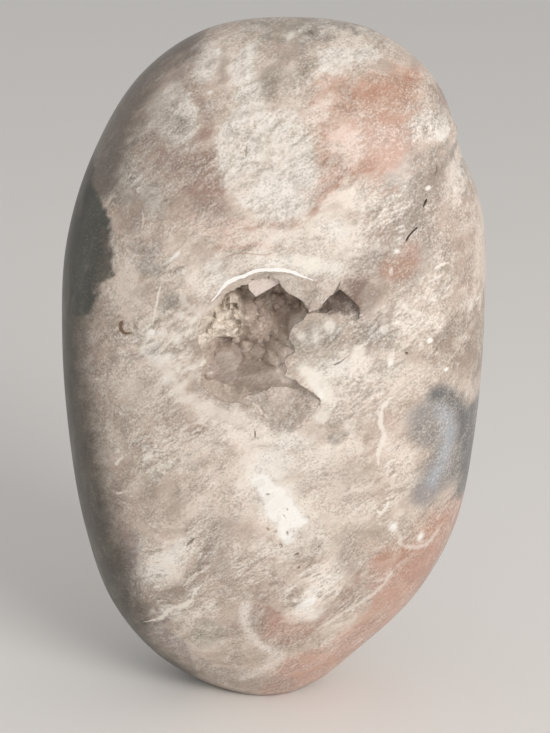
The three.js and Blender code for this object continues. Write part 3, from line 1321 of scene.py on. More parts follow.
# Numbers of the outputs that the recipes take, and the settings that they share.
OBJECT_PLACE = 3
NOISE_COLOUR = 1
STORED_NUMBER = 2
MIXED_COLOUR = 2
EASED = {"interpolation_type": "SMOOTHSTEP"}
COLOURS = {"data_type": "RGBA"}
TURNED = {"vector_type": "TEXTURE"}


@dataclass(frozen=True)
class RockFinish:
    """Chalcedony and quartz: a base colour, tints and veins over it, and mottling in all of it.

    Both are glassy, so their roughness is low and their IOR is that of quartz. Light goes a little way
    in and comes back cloudy, which the soft edges of the tints give.
    """

    name: str
    base: str
    layers: tuple[Tint | Zone | Mottle, ...]
    veins: tuple[VeinSet, ...]
    roughness: float
    roughness_swing: float

    IOR = 1.54
    GRAIN = 0.6
    SWAY = 1.2
    SWAY_SIZE = 4.5
    EDGE_SIZE = 1.5
    EDGE_DETAIL = 5.0
    EDGE_SHAPE = (1.6, 1.0, 0.7)
    EDGE_TURN = math.radians(38)
    EDGE_GAIN = 4.0
    FINE = 1.0
    STRAY_SEED = 7
    STRAY_SIZE = 4.0
    # Painted light and shade in the hollows, by depth: the walls just inside are painted lighter, and the
    # deep floor darker.
    PAINTED_HOLLOW_LIGHT_AND_SHADE = ((0.05, 0.5, 0.85, "#E4D9CE"), (1.6, 4.2, 0.9, "#A08D7C"))
    VEIN_NOISE_SIZE = 0.6
    VEIN_WANDER = 1.8
    LIP_GLINT_COLOUR = "#FFFEFA"
    LIP_GLINT_EDGE = (0.8, 1.25)
    PATCH_SIZE = 3.2
    PATCH_EDGE = (0.35, 0.65)
    GATE_EDGE = 0.8
    APART = (31.0, 17.0, 7.0)

    def store(self, mesh: bpy.types.Mesh, name: str, values: Array) -> None:
        """Stores a number at each point of the mesh."""
        layer = mesh.attributes.new(name, "FLOAT", "POINT")
        layer.data.foreach_set("value", values.astype(np.float32))

    def measure(self, mesh: bpy.types.Mesh, hollow: Array) -> None:
        """Stores where each tint and vein lies.

        Args:
            mesh: The piece's mesh.
            hollow: How deep each of its points lies in a hollow.
        """
        points = points_of(mesh)
        stray = LatticeNoise(self.STRAY_SEED).rough(points, self.STRAY_SIZE)
        for layer in self.layers:
            if isinstance(layer, (Tint, Zone)):
                self.store(mesh, layer.name, layer.field(points, stray))
        for vein_set in self.veins:
            ratio, strength = vein_set.fields(points)
            self.store(mesh, vein_set.name, ratio)
            self.store(mesh, vein_set.name + "_strength", strength)
        self.store(mesh, "hollow", hollow)

    def material(self) -> bpy.types.Material:
        """Makes the shader that draws the stored marks.

        Returns:
            The material.
        """
        recipe = Recipe(self.name)
        metres = recipe.add("TexCoord", (), OBJECT_PLACE)
        place = recipe.add("VectorMath", {0: metres, 3: 1.0 / MM}, operation="SCALE")
        sway = recipe.add("TexNoise", {"Vector": place, "Scale": 1.0 / self.SWAY_SIZE, "Detail": 0.0,
                                       "Roughness": self.GRAIN}, NOISE_COLOUR)
        sway = recipe.add("VectorMath", (sway, (0.5, 0.5, 0.5)), operation="SUBTRACT")
        sway = recipe.add("VectorMath", {0: sway, 3: 2 * self.SWAY}, operation="SCALE")
        drifted = recipe.add("VectorMath", (place, sway), operation="ADD")
        torn = recipe.add("Mapping", {"Vector": place, "Rotation": (0.0, -self.EDGE_TURN, 0.0),
                                      "Scale": self.EDGE_SHAPE}, **TURNED)
        edge = recipe.add("TexNoise", {"Vector": torn, "Scale": 1.0 / self.EDGE_SIZE,
                                       "Detail": self.EDGE_DETAIL, "Roughness": self.GRAIN}, NOISE_COLOUR)
        split = recipe.add("SeparateColor", (edge,)).node.outputs
        colour: Any = linear(self.base)
        depth = recipe.add("Attribute", (), STORED_NUMBER, attribute_name="hollow")
        # Painted light on the hollows' shallow walls and painted shade on their deep floors.
        for low, high, strength, shade in self.PAINTED_HOLLOW_LIGHT_AND_SHADE:
            share = recipe.add("MapRange", (depth, low, high, 0.0, strength), **EASED)
            colour = recipe.add("Mix", {0: share, 6: colour, 7: linear(shade)}, MIXED_COLOUR, **COLOURS)
        height: Any = 0.0
        for number, layer in enumerate(self.layers):
            if isinstance(layer, Tint):
                colour = self.tinted(recipe, colour, layer, split[number % 3])
            elif isinstance(layer, Mottle):
                ground = drifted if layer.along > self.FINE else place
                colour, height = self.mottled(recipe, colour, height, layer, ground, number)
        if self.veins:
            colour = self.veined(recipe, colour, place)
        smoothest = self.roughness - self.roughness_swing
        swing = recipe.add("Math", (split[2], 2 * self.roughness_swing, smoothest), operation="MULTIPLY_ADD")
        bump = recipe.add("Bump", {"Height": height, "Strength": 1.0, "Distance": MM})
        shader = recipe.add("BsdfPrincipled", {"Base Color": colour, "Roughness": swing, "IOR": self.IOR,
                                               "Normal": bump})
        recipe.add("OutputMaterial", (shader,))
        return recipe.material

    def tinted(self, recipe: Recipe, colour: Any, tint: Tint, wander: Any) -> Any:
        """Draws one tint with a ragged, soft edge.

        Args:
            recipe: The material's nodes.
            colour: The colour below.
            tint: What is drawn.
            wander: The noise that tears the edge.

        Returns:
            The colour with the tint on it.
        """
        reach = tint.ragged * self.EDGE_GAIN
        push = recipe.add("Math", (wander, reach, -reach / 2), operation="MULTIPLY_ADD")
        stored = recipe.add("Attribute", (), STORED_NUMBER, attribute_name=tint.name)
        inside = recipe.add("Math", (stored, push), operation="ADD")
        share = recipe.add("MapRange", (inside, -tint.soft / 2, tint.soft / 2, 0.0, tint.strength), **EASED)
        return recipe.add("Mix", {0: share, 6: colour, 7: linear(tint.colour)}, MIXED_COLOUR, **COLOURS)

    def veined(self, recipe: Recipe, colour: Any, place: Any) -> Any:
        """Draws the veins, and the white lip over the pocket, a painted highlight that stands also for a
        white band.

        Args:
            recipe: The material's nodes.
            colour: The colour below.
            place: The place on the stone, in millimetres.

        Returns:
            The colour with the veins on it.
        """
        fine = recipe.add("TexNoise", {"Vector": place, "Scale": 1.0 / self.VEIN_NOISE_SIZE, "Detail": 2.0,
                                       "Roughness": self.GRAIN})
        wander = recipe.add("Math", (fine, 2 * self.VEIN_WANDER, -self.VEIN_WANDER), operation="MULTIPLY_ADD")
        lines = [(v.name, wander, (1 - v.soft, 1 + v.soft), v.strength, v.colour) for v in self.veins]
        # The last line drawn is the pocket's lip, a painted highlight that stands also for a white band.
        for name, push, edge, strength, tone in (*lines, ("lip", 0.0, self.LIP_GLINT_EDGE, 1.0, self.LIP_GLINT_COLOUR)):
            ratio = recipe.add("Attribute", (), STORED_NUMBER, attribute_name=name)
            width = recipe.add("Math", (ratio,), operation="ABSOLUTE")
            width = recipe.add("Math", (width, push), operation="ADD")
            line = recipe.add("MapRange", (width, *edge, strength, 0.0), **EASED)
            kept = recipe.add("Attribute", (), STORED_NUMBER, attribute_name=name + "_strength")
            share = recipe.add("Math", (line, kept), operation="MULTIPLY")
            colour = recipe.add("Mix", {0: share, 6: colour, 7: linear(tone)}, MIXED_COLOUR, **COLOURS)
        return colour

    def mottled(self, recipe: Recipe, colour: Any, height: Any, mottle: Mottle, place: Any,
                number: int) -> tuple[Any, Any]:
        """Lightens and darkens a colour with one pattern, and adds its relief to a height.

        Args:
            recipe: The material's nodes.
            colour: The colour below.
            height: The height below, in millimetres.
            mottle: What is drawn.
            place: The place on the stone, in millimetres.
            number: The pattern's number, which sets it apart from the others.

        Returns:
            The new colour and height.
        """
        turned = recipe.add("Mapping", {
            "Vector": place, "Location": tuple(number * step for step in self.APART),
            "Rotation": (0.0, -math.radians(mottle.turn), 0.0),
            "Scale": (mottle.along, mottle.across, mottle.across)}, **TURNED)
        grain = {"Scale": 1.0, "Detail": mottle.detail, "Roughness": self.GRAIN}
        value = recipe.add("TexNoise", {"Vector": turned, **grain})
        other: Any = 0.5
        # The pattern less a copy of itself shifted aside: painted light and shade, as on low folds lit from
        # one side.
        if mottle.painted_emboss_shift:
            aside = recipe.add("VectorMath", (turned, (0.0, 0.0, mottle.painted_emboss_shift)), operation="ADD")
            other = recipe.add("TexNoise", {"Vector": aside, **grain})
        swing = recipe.add("Math", (value, other), operation="SUBTRACT")
        swing = recipe.add("Math", (swing, mottle.gain), operation="MULTIPLY")
        if mottle.patchy:
            patches = recipe.add("TexNoise", {"Vector": place, "Scale": 1.0 / self.PATCH_SIZE, "Detail": 2.0,
                                              "Roughness": self.GRAIN})
            patches = recipe.add("MapRange", (patches, *self.PATCH_EDGE, 1.0 - mottle.patchy,
                                              1.0 + mottle.patchy), **EASED)
            swing = recipe.add("Math", (swing, patches), operation="MULTIPLY")
        if mottle.gate:
            gate = recipe.add("Attribute", (), STORED_NUMBER, attribute_name=mottle.gate)
            gate = recipe.add("MapRange", (gate, -self.GATE_EDGE, self.GATE_EDGE, 0.0, 1.0), **EASED)
            swing = recipe.add("Math", (swing, gate), operation="MULTIPLY")
        if mottle.relief:
            height = recipe.add("Math", (value, mottle.relief, height), operation="MULTIPLY_ADD")
        for edges, tone in (((mottle.bar, 1.0, 0.0, mottle.light), mottle.light_colour),
                            ((-1.0, -mottle.bar, mottle.dark, 0.0), mottle.dark_colour)):
            share = recipe.add("MapRange", (swing, *edges), **EASED)
            colour = recipe.add("Mix", {0: share, 6: colour, 7: linear(tone)}, MIXED_COLOUR, **COLOURS)
        return colour, height


# The cloudy fields of the polished rock, the wide ones first and the narrow ones on them.
BED_TINTS = (
    Tint("ash", "#A79D93", 1.5, 1.4, (
        Patch(((-16.5, 64), (-12, 64.3), (-10.4, 61), (-10, 58.5), (-13, 57), (-16, 57), (-17, 61))),
        Patch(((17.6, 62.8), (15.8, 62), (14.4, 60.3), (13.2, 57.7), (15, 57), (16.2, 58.6))),
        Blob(-17.3, 54.5, 1.2, 2.5), Blob(-12.4, 53, 1.4, 2), Blob(-13.9, 56.4, 0.8, 1.5),
        Blob(-9.8, 49, 1.6, 2), Blob(-14.5, 46.2, 2.0, 1.0), Blob(16.9, 63.8, 1.8, 0.8, 20),
        Blob(13.0, 62.6, 1.6, 2.6), Blob(14.4, 58.0, 1.6, 3.4), Blob(11.3, 46, 2, 1.3),
        Blob(8.2, 29.5, 1.2, 1.6), Blob(19.2, 44.5, 2, 1.4), Blob(7.2, 34.4, 1.4, 0.9),
        Blob(5.2, 45.6, 2.8, 1.8, 10), Blob(13.2, 61, 2, 2), Blob(5, 75.8, 6, 1.0), Blob(20.2, 59, 1, 2),
        Blob(18, 62.4, 1, 1.2), Blob(11.6, 53.6, 2.4, 1.6), Blob(15.8, 54.6, 1.4, 2.4),
        Blob(0.2, 36.4, 1.2, 0.8))),
    Tint("rose", "#B29D90", 2.2, 1.7, (
        Blob(-17.5, 40, 2.0, 7), Blob(-7.2, 31.5, 3, 1.6), Blob(-16.5, 24.5, 2, 5),
        Patch(((19.1, 45.9), (22.6, 44.5), (24, 38.5), (21.4, 39.6), (18.9, 42.4))),
        Blob(-10.2, 63.5, 4.4, 3), Blob(-7.5, 61.5, 2.6, 3), Blob(-7, 67.8, 0.9, 2.5), Blob(1.4, 10.5, 4, 2),
        Blob(-7, 19, 2.6, 1.4), Blob(12.6, 54.5, 2.4, 3.4),
        Trail(((20.2, 58.6), (20.0, 55), (20.2, 51), (21.2, 48.6)), 2.8),
        Patch(((10, 52.2), (11.2, 56), (13, 60), (16, 59.4), (17.4, 55), (16.4, 51.6), (12, 51.2))),
        Patch(((-12.8, 69), (-10.2, 66), (-8.2, 63.4), (-6, 61.4), (-4.4, 58), (-6, 56.4), (-10, 58.6),
            (-13.4, 63))),
        Blob(20.8, 56, 1.4, 3), Blob(-14, 57, 2.4, 1.6, 30), Blob(-5, 53, 1.6, 1.0), Blob(-12, 31, 2, 1.2),
        Blob(-7, 39, 2.2, 1.2), Blob(0, 16.4, 1.6, 1.4), Blob(18, 61.6, 1.6, 1.6),
        Blob(16.8, 55, 2, 2)), 0.8),
    Tint("lilac", "#A0928F", 1.6, 1.0, (
        Blob(-15.0, 17.5, 1.5, 3.6), Blob(-12.6, 11.2, 1.8, 1.8), Blob(-11.5, 8.5, 4, 1.2, -40))),
    Tint("brown", "#978475", 1.3, 1.3, (
        Patch(((-6.3, 25.4), (-5, 23.8), (-5.2, 20.8), (-7, 17.5), (-9.4, 14.6), (-13.1, 11.7), (-14.4, 11.2),
            (-10.2, 16.5), (-8, 19.4), (-6.7, 22.7))),
        Patch(((-9.9, 33.6), (-9.3, 34.8), (-7.5, 35.4), (-5.8, 34.8), (-6.4, 33.2), (-9.3, 32.6))),
        Patch(((17, 43), (18.5, 47), (21, 48), (26, 48), (26, 40), (18, 40.4))), Blob(16.2, 60.5, 1.2, 2.6),
        Blob(10.4, 50.4, 2, 1.4), Blob(-14.4, 12, 1.5, 2, 40)), 0.7),
    Tint("mist", "#E0D2C5", 1.5, 1.7, (
        Patch(((0, 53.9), (3.9, 55.9), (6.7, 59.5), (9.5, 60.9), (11.4, 60.4), (10.4, 57.6), (9.6, 54),
            (8.5, 52.6), (4, 52.6), (1.7, 53.4))),
        Blob(-1, 56, 6, 3), Blob(0.5, 31, 7, 7), Blob(-7, 51.6, 4, 2.2), Blob(-14.8, 50, 1.8, 4),
        Blob(-13.4, 40.5, 3, 5), Blob(-9.5, 32, 4, 2.6, 20), Blob(7, 59, 4, 2.6, 20), Blob(9.5, 28, 2.4, 3.4),
        Blob(1, 21.5, 4, 1.4), Blob(6, 22.5, 2, 3), Blob(-7, 10, 2, 2.4), Blob(9, 10, 3, 1.6, 40),
        Patch(((4, 37), (5.4, 42), (7, 44), (11.4, 43), (14.3, 43), (16, 40), (12.6, 38), (9.4, 37),
            (8, 36.4))),
        Patch(((-10.4, 40), (-8.1, 38.2), (-4.6, 37), (-0.6, 36.2), (0, 33.7), (-3.5, 34), (-6.9, 36.2),
            (-9.5, 37.6), (-11.5, 39))),
        Patch(((-4.5, 35.5), (1, 34.4), (5.5, 33.8), (9, 33.6), (9.5, 29), (7.8, 24.3), (4.5, 21.3),
            (0.6, 21.9), (-2.4, 26.4), (-4.4, 30.5))),
        Patch(((2.4, 12.3), (2.7, 15.2), (4.7, 17.6), (6.8, 20.9), (8, 18.8), (7.1, 16), (5.1, 13.6))),
        Patch(((-14.6, 15.8), (-14, 18.5), (-12.4, 21.6), (-9, 22.6), (-7.6, 21.2), (-9.6, 18), (-12, 16))),
        Blob(14.5, 47.2, 4, 1.6), Blob(17.5, 50.5, 1.4, 2.2), Blob(19, 60, 1, 2), Blob(22.6, 54, 0.7, 4),
        Blob(-12, 43.5, 3.4, 3.8), Blob(-9.5, 53.4, 2.2, 1.4), Blob(13.4, 32, 2.2, 3),
        Blob(-7, 25.5, 2.4, 2.2), Blob(-12, 43, 2, 2), Blob(-2, 69, 2, 5), Blob(-6.0, 72.4, 1.6, 1.8),
        Blob(8.5, 74.2, 2.4, 1.0), Blob(17.4, 66.4, 1.4, 1.4), Blob(-9, 46.6, 2, 1.2),
        Patch(((0.9, 71.7), (2.2, 72.1), (3.6, 68.7), (2.9, 67.7), (1.2, 68.6))), Blob(-5, 19.6, 1.6, 1.2),
        Blob(14, 26.6, 1.6, 1.2))),
    Tint("glow", "#F6ECE0", 1.3, 1.5, (
        Patch(((-8, 38.4), (-4.6, 36.8), (-0.5, 35.2), (5, 34.4), (6.2, 33), (5, 30), (3, 30.6), (-2.5, 32.6),
            (-6, 35))),
        Trail(((-7.4, 51), (-4.8, 52.6), (-1, 53.9), (3, 53.8), (7.4, 52.9)), 1.8), Blob(0, 56.2, 3, 0.9, 10),
        Blob(5, 57.2, 3, 1.6, 30), Blob(8.6, 60, 2.4, 1.2, 10), Blob(1, 33.2, 4, 1.6),
        Blob(-1.6, 29, 1.6, 2.6), Blob(1.2, 21.6, 2.6, 1.0), Blob(9, 33.6, 1.4, 1.2),
        Blob(5.2, 16.6, 1.4, 3.4, -25), Blob(-11, 18.4, 2, 2.6, -35),
        Patch(((-2.6, 32), (0, 31.5), (3.2, 28.4), (5.8, 24.6), (4, 21.9), (0.6, 22.6), (-1.4, 26.8),
            (-2.9, 29.5))),
        Patch(((2.6, 12.3), (3.1, 15.2), (4.9, 17.4), (6.5, 18.8), (7.2, 17.4), (6.5, 15.4), (4.9, 13.6))),
        Patch(((-14, 16), (-13, 18.5), (-11.4, 21.2), (-8.8, 22), (-8.4, 20.6), (-9.8, 18.4), (-12, 16.4))),
        Blob(5.4, 40.4, 1.2, 2), Blob(-7.5, 12.8, 1.6, 0.9, 30), Blob(-10.4, 12.6, 1.4, 0.7, 20),
        Blob(8.4, 54.6, 2.4, 0.9, 10), Blob(-5, 37.4, 3, 0.8, -20), Blob(19.7, 61, 0.8, 2),
        Blob(13.5, 46.9, 2, 0.8), Blob(-5.6, 51.6, 1.6, 0.8, 40), Blob(8.6, 42, 1.8, 1.2, 20)), 0.85),
    Tint("cream", "#EEE5DB", 0.7, 0.9, (
        Patch(((-1.5, 74.8), (-1.2, 72.8), (-1, 70.6), (0.6, 68.6), (2.8, 68.2), (3.9, 67.1), (4.8, 64.4),
            (4.8, 61.2), (3.9, 58.4), (2, 57.3), (-1.1, 58.1), (-3.3, 59.7), (-5.3, 62.1), (-5.6, 65.3),
            (-3.3, 69.3), (-3.9, 71.8), (-2.9, 73.8))),
        Patch(((-10.6, 70.2), (-8.8, 70.4), (-7.6, 68.9), (-7.2, 66.6), (-8.4, 64.9), (-10.4, 65.2),
            (-11.9, 66.4), (-12.4, 67.8), (-12, 69.2))),
        Blob(-6.2, 72.6, 1.2, 1.8, -20),
        Patch(((4.9, 74), (6.3, 74.2), (8.5, 74.2), (11, 74), (11.4, 73.2), (8, 72.6), (5.8, 70.6),
            (4.9, 70.8))),
        Patch(((14.9, 67.2), (16, 67.8), (17.6, 67.2), (18.8, 65.8), (18.4, 64.9), (16, 65.0),
            (14.4, 65.8)))), 0.95),
    Tint("olive", "#8F8979", 1.1, 0.9, (
        Patch(((1.6, 72.8), (4.6, 73.6), (4.6, 71.2), (2.8, 71.2), (1, 70.4), (0, 69.2), (-0.8, 70.8),
            (-0.4, 72.4))),
        Blob(-8.9, 67.0, 0.8, 0.8), Blob(2, 75.6, 3, 0.8), Blob(-17.2, 12.2, 1.2, 3.5, 35),
        Blob(5.3, 42.9, 1.6, 0.5, 15), Blob(-6.8, 10.2, 1.6, 2), Blob(13.2, 42.2, 1.2, 0.6, 20),
        Blob(10.6, 39.6, 1, 0.6, 30)), 0.6),
    Tint("rust", "#9C7D72", 1.2, 1.1, (
        Patch(((-12.9, 65.1), (-9, 64.3), (-6.1, 64.7), (-4.8, 61), (-4, 58.2), (-5.4, 57.8), (-7.8, 59.6),
            (-9.6, 62), (-11.4, 63.3))),
        Blob(18.2, 68.8, 1.2, 0.8, -40), Trail(((-7.6, 69.8), (-6.8, 67.8), (-6.5, 65.4)), 0.9)), 0.75),
    Tint("peach", "#CDAB98", 1.0, 1.0, (
        Patch(((5.3, 71.9), (8.4, 71.2), (11.8, 72.4), (15.3, 71.8), (16.4, 70), (14.6, 67.8), (13.4, 66.6),
            (14, 66), (13.6, 63.6), (10.6, 62.2), (7, 61.6), (5.3, 61.4), (5.0, 63.3), (4.6, 65.7),
            (4.2, 67.6), (4.3, 69.7))),), 0.9),
    Tint("low_peach", "#E0C5B6", 1.3, 1.1, (
        Patch(((-8, 58.1), (-5.6, 57.7), (-2.6, 57.6), (-1.6, 56.8), (-2.6, 55.6), (-4.5, 54.6),
            (-6.6, 56))),), 0.8),
    Tint("blush", "#EBD3C6", 1.2, 1.0, (
        Patch(((5.4, 65.5), (7, 67), (9.4, 66.6), (9.8, 65.2), (9.4, 63.6), (7.4, 63.4))),
        Blob(0.2, 56, 2.4, 1.0, 15), Blob(5, 68.4, 1.6, 1.2, 30), Blob(5.2, 61, 1.6, 1.2, 40)), 0.9),
    Tint("apron_skin", "#AFA095", 0.8, 0.6, (
        Patch(((1.6, 41), (3, 40.5), (4.2, 39.4), (4.9, 38.5), (4.4, 37.6), (3.7, 36.6), (3.1, 35.5),
            (2.7, 35), (1.2, 35.1), (-0.4, 35.8), (-1.8, 36.6), (-3, 38), (-4.4, 38.7), (-5.8, 38.5),
            (-7.2, 39.1), (-7.9, 40.5), (-5, 42))),), 0.8),
    Tint("bridge", "#CDC0B5", 0.5, 0.3, (
        Patch(((4.1, 51.7), (5.3, 52.3), (7.4, 51.8), (7.2, 50.5), (5.8, 48.9), (5.1, 48.3), (4.1, 48.6),
            (3.8, 49.3))),), 0.8),
    Tint("salmon", "#B4836C", 1.1, 0.9, (
        Trail(((15, 71), (13, 70.3), (12, 68.9), (12, 67), (12.1, 65), (10.8, 63.5)), 1.4),
        Blob(12.4, 70.2, 2.6, 1.2, -10), Blob(11.6, 66.0, 1.6, 3.2), Blob(11.6, 63.8, 1.8, 0.9)), 0.7),
    Tint("salmon_line", "#AE7B64", 0.6, 0.6, (
        Trail(((10.8, 63.5), (8.3, 62.5), (6.8, 61.6), (5.5, 60.2), (4.8, 58.7), (3.6, 57.6), (2.2, 57),
            (0, 57.2), (-2, 56.6)), 0.7),
        Trail(((5.6, 67.5), (5.8, 64.5), (5.6, 61.6)), 0.5),
        Trail(((-5.5, 54.6), (-2.9, 54.9), (-0.6, 55.4), (0.6, 56.4)), 0.4)), 0.6),
    Tint("low_salmon", "#C6A091", 1.0, 0.9, (
        Patch(((11, 20), (14, 20.8), (17, 20.9), (19.1, 22.6), (21.5, 25.4), (26, 18), (18, 6), (14, 11),
            (11.6, 12.6), (10.6, 16.3))),
        Patch(((2.1, 7.2), (5, 8), (8, 6), (8, 0), (2, -3), (-1, 0), (0.9, 5))),
        Patch(((8, 9), (11, 12), (14, 10), (12, 5), (8, 2), (5, 5))), Blob(-15, 7.6, 1.0, 3.5, 45)), 0.85),
    Tint("low_red", "#9F7C6E", 0.7, 0.7, (
        Patch(((14.6, 20.6), (17, 20.8), (18.6, 22.8), (20.5, 26.4), (26, 21), (19, 11), (16.4, 13.8),
            (14.4, 17.4))),
        Patch(((-2.1, 14), (-0.4, 14.8), (1.2, 13.6), (2.1, 12.2), (4.6, 12), (3.4, 9.8), (1.6, 9.2),
            (0, 10.4))),
        Trail(((2, 9.6), (4.4, 10.7), (6.6, 13), (9.2, 16.1), (9.8, 18.1)), 0.9)), 0.75),
    Tint("back_cream", "#DDD0C2", 5.0, 2.5, (
        Patch(((-12, 60), (-4, 66), (6, 60), (14, 48), (16, 34), (8, 30), (0, 40), (-8, 46))),
        Blob(-6, 22, 6, 4, 30), Blob(10, 16, 4, 3)), 0.8, Side.BACK),
    Tint("back_salmon", "#C8A794", 4.0, 2.0, (
        Trail(((-17, 52), (-8, 40), (2, 30), (12, 22), (16, 14)), 5.0), Blob(4, 66, 5, 4)), 0.7, Side.BACK),
    Tint("back_grey", "#989082", 4.0, 2.0, (
        Trail(((-16, 34), (-8, 30), (-4, 16), (2, 6)), 6.0), Blob(12, 62, 4, 5, 30)), 0.6, Side.BACK),
)

# The crystal network and the torn spots in the pale fields, with the broad mottling of all of it.
CLOUDS = (
    Zone("network", (
        Patch(((-13.5, 44), (-10, 49), (-6.6, 48), (-7.4, 43), (-9, 40), (-12, 41.5))), Blob(9, 40, 4.5, 4.5),
        Blob(14, 46.5, 4, 3), Blob(17, 52, 2.5, 4), Blob(11.5, 56, 3, 4), Blob(16, 60, 2, 4))),
    Zone("torn", (
        Patch(((-15, 15), (-14, 19), (-11, 22.5), (-7, 24), (-5.6, 21.5), (-7.5, 17), (-8.5, 13), (-12, 10))),
        Blob(-13.5, 31.2, 5, 2.4, 25), Blob(-8, 34.5, 2, 1.2, 20), Blob(5, 16, 3, 4.5, -20),
        Blob(-12.5, 44, 4, 3), Blob(-13.6, 60, 1.5, 2), Blob(12.4, 26, 1.6, 2.4), Blob(12.6, 31, 1.2, 3, -10),
        Blob(13.5, 58, 2.2, 3), Blob(10, 46.5, 5, 2, 20), Blob(16.2, 66.4, 2, 1.6), Blob(-1.5, 18.8, 2.5, 2),
        Blob(-8, 53, 3, 1.2, 20), Blob(9, 13.5, 3, 1.2, 40), Blob(-9.5, 40, 2.4, 2, 40))),
    Mottle(9.0, 6.0, 35, 0.16, 0.18, "#D9B6A6", "#A6A08C", 2.0),
    Mottle(4.4, 2.4, 36, 0.32, 0.32, "#F3EADD", "#96887C", 5.0, 7.0),
    Mottle(1.9, 1.2, 30, 0.25, 0.26, "#F6EFE4", "#8A7D70", 5.0, 6.5, patchy=0.5),
    Mottle(2.2, 1.9, 40, 0.42, 0.34, "#FDFAF4", "#A19D8C", 3.0, 7.0, painted_emboss_shift=0.2, relief=0.006, gate="cream"),
    Mottle(0.9, 0.75, 40, 0.25, 0.3, "#FFFDF8", "#8E897A", 2.0, 10.0, painted_emboss_shift=0.35, gate="cream", bar=0.45),
    Mottle(1.9, 1.6, 20, 0.42, 0.4, "#FAF5EA", "#918B79", 3.0, 7.0, painted_emboss_shift=0.25, relief=0.003, gate="network",
           bar=0.1),
    Mottle(0.9, 0.7, 50, 0.3, 0.3, "#FFFCF5", "#857D6F", 2.0, 10.0, painted_emboss_shift=0.35, gate="network", bar=0.4),
)

# Thin veils that lighten, warm or grey whole regions over the mottling. Some of the pale ones carry
# painted highlights, and one is a painted contact shadow along the bottom.
VEILS = (
    # A pale veil: partly the stone's own white, and partly painted highlight over the white streak and the
    # two softer spots lower down.
    Tint("snow_and_highlight_veil", "#FBF6EE", 1.6, 0.7, (
        Blob(0, 30.6, 2.6, 2.0, 40), Blob(1.4, 26.4, 2.0, 3.4, 25), Blob(4.6, 15.0, 2.0, 0.9, 50),
        Blob(6.6, 17.6, 1.8, 0.8, 55), Blob(-10.2, 20.0, 1.8, 0.9, 35), Blob(-12.2, 17.8, 1.6, 0.9, 30),
        Trail(((-1, 53.4), (3, 53.3), (7, 52.8)), 1.2), Blob(7, 56.6, 1.6, 0.9), Blob(4, 62, 0.9, 1.2),
        Blob(1, 60.6, 2, 1.4), Blob(0.8, 56, 2, 0.8), Blob(-5, 51.4, 1.2, 0.8), Blob(2, 34, 2, 0.9),
        Blob(5, 13.4, 1.4, 1.0, 40), Blob(0, 32, 1.6, 1.2), Blob(7.4, 42.2, 1.6, 1.0, 20),
        Blob(4, 53, 1.6, 0.9), Blob(-12, 43, 1.0, 0.8), Blob(5, 16, 1.2, 1.0, 40)), 0.7),
    Tint("warm_veil", "#B0836B", 2.4, 1.3, (
        Blob(11.8, 65.4, 2.2, 4), Blob(11, 69.4, 3.2, 1.2), Blob(18, 22.4, 1.8, 2, -30),
        Blob(14.6, 20.8, 2, 0.9)), 0.85),
    Tint("low_veil", "#C99C8A", 2.2, 1.0, (
        Trail(((2, 2.6), (8, 6.4), (13, 12), (17.4, 19), (19.6, 23)), 5.0),
        Blob(1.6, 11.2, 2.4, 1.6, 20)), 0.5),
    # Painted contact shadow along the bottom edge.
    Tint("low_shade", "#776B60", 2.4, 0.6, (Trail(((-10, 1.2), (-5, 0.2), (0, -1.2), (6, 0)), 2.2),), 0.55),
    Tint("grey_veil", "#A09188", 2.0, 1.1, (
        Blob(14.6, 55.2, 2.4, 4), Blob(17, 61, 1.8, 2.6, 20), Blob(11.2, 53, 1.6, 1.6),
        Blob(-11, 67, 1.8, 3.4), Blob(-5, 53, 1.4, 0.9), Blob(-9, 63, 2, 1.8), Blob(-5.5, 58.3, 1.6, 1),
        Blob(-9, 72, 2, 1, 40), Blob(-6, 20.4, 1.8, 2.4), Blob(-11, 14.6, 2.6, 1, 35),
        Blob(-2, 12.6, 1.4, 1.2), Blob(9, 19, 1.4, 1.2), Blob(11, 46, 2.0, 1.3), Blob(-3, 3.4, 6, 1.6, -10),
        Blob(2, 73.6, 2, 1), Blob(14, 52.8, 2.0, 1.5), Blob(9.4, 50, 2.0, 1.8), Blob(-5, 24, 1.8, 1.3),
        Blob(-17, 16, 1.4, 1.8), Blob(18, 68, 1.4, 0.9)), 0.55),
)

# Short torn strokes that run the way that the rock is banded.
STROKES = (
    Mottle(2.2, 0.8, 38, 0.5, 0.42, "#FCF8F0", "#7C6F63", 5.0, 11.0, painted_emboss_shift=0.3, gate="torn", patchy=0.6,
           bar=0.55),
    Mottle(2.0, 0.8, 38, 0.16, 0.14, "#FCF8F0", "#7C6F63", 5.0, 10.0, painted_emboss_shift=0.3, patchy=1.0, bar=0.5),
)

# The sugary grain. Chalcedony's own is finer than 0.1 mm, so it is drawn at 0.26 mm to show.
SAND = (
    Mottle(1.2, 0.45, 40, 0.12, 0.12, CHALK, DUST, 3.0, 8.0, painted_emboss_shift=0.35, patchy=0.8, bar=0.2),
    Mottle(0.26, 0.2, 35, 0.27, 0.34, CHALK, DUST, 2.0, 6.0, relief=0.002, patchy=0.5),
)
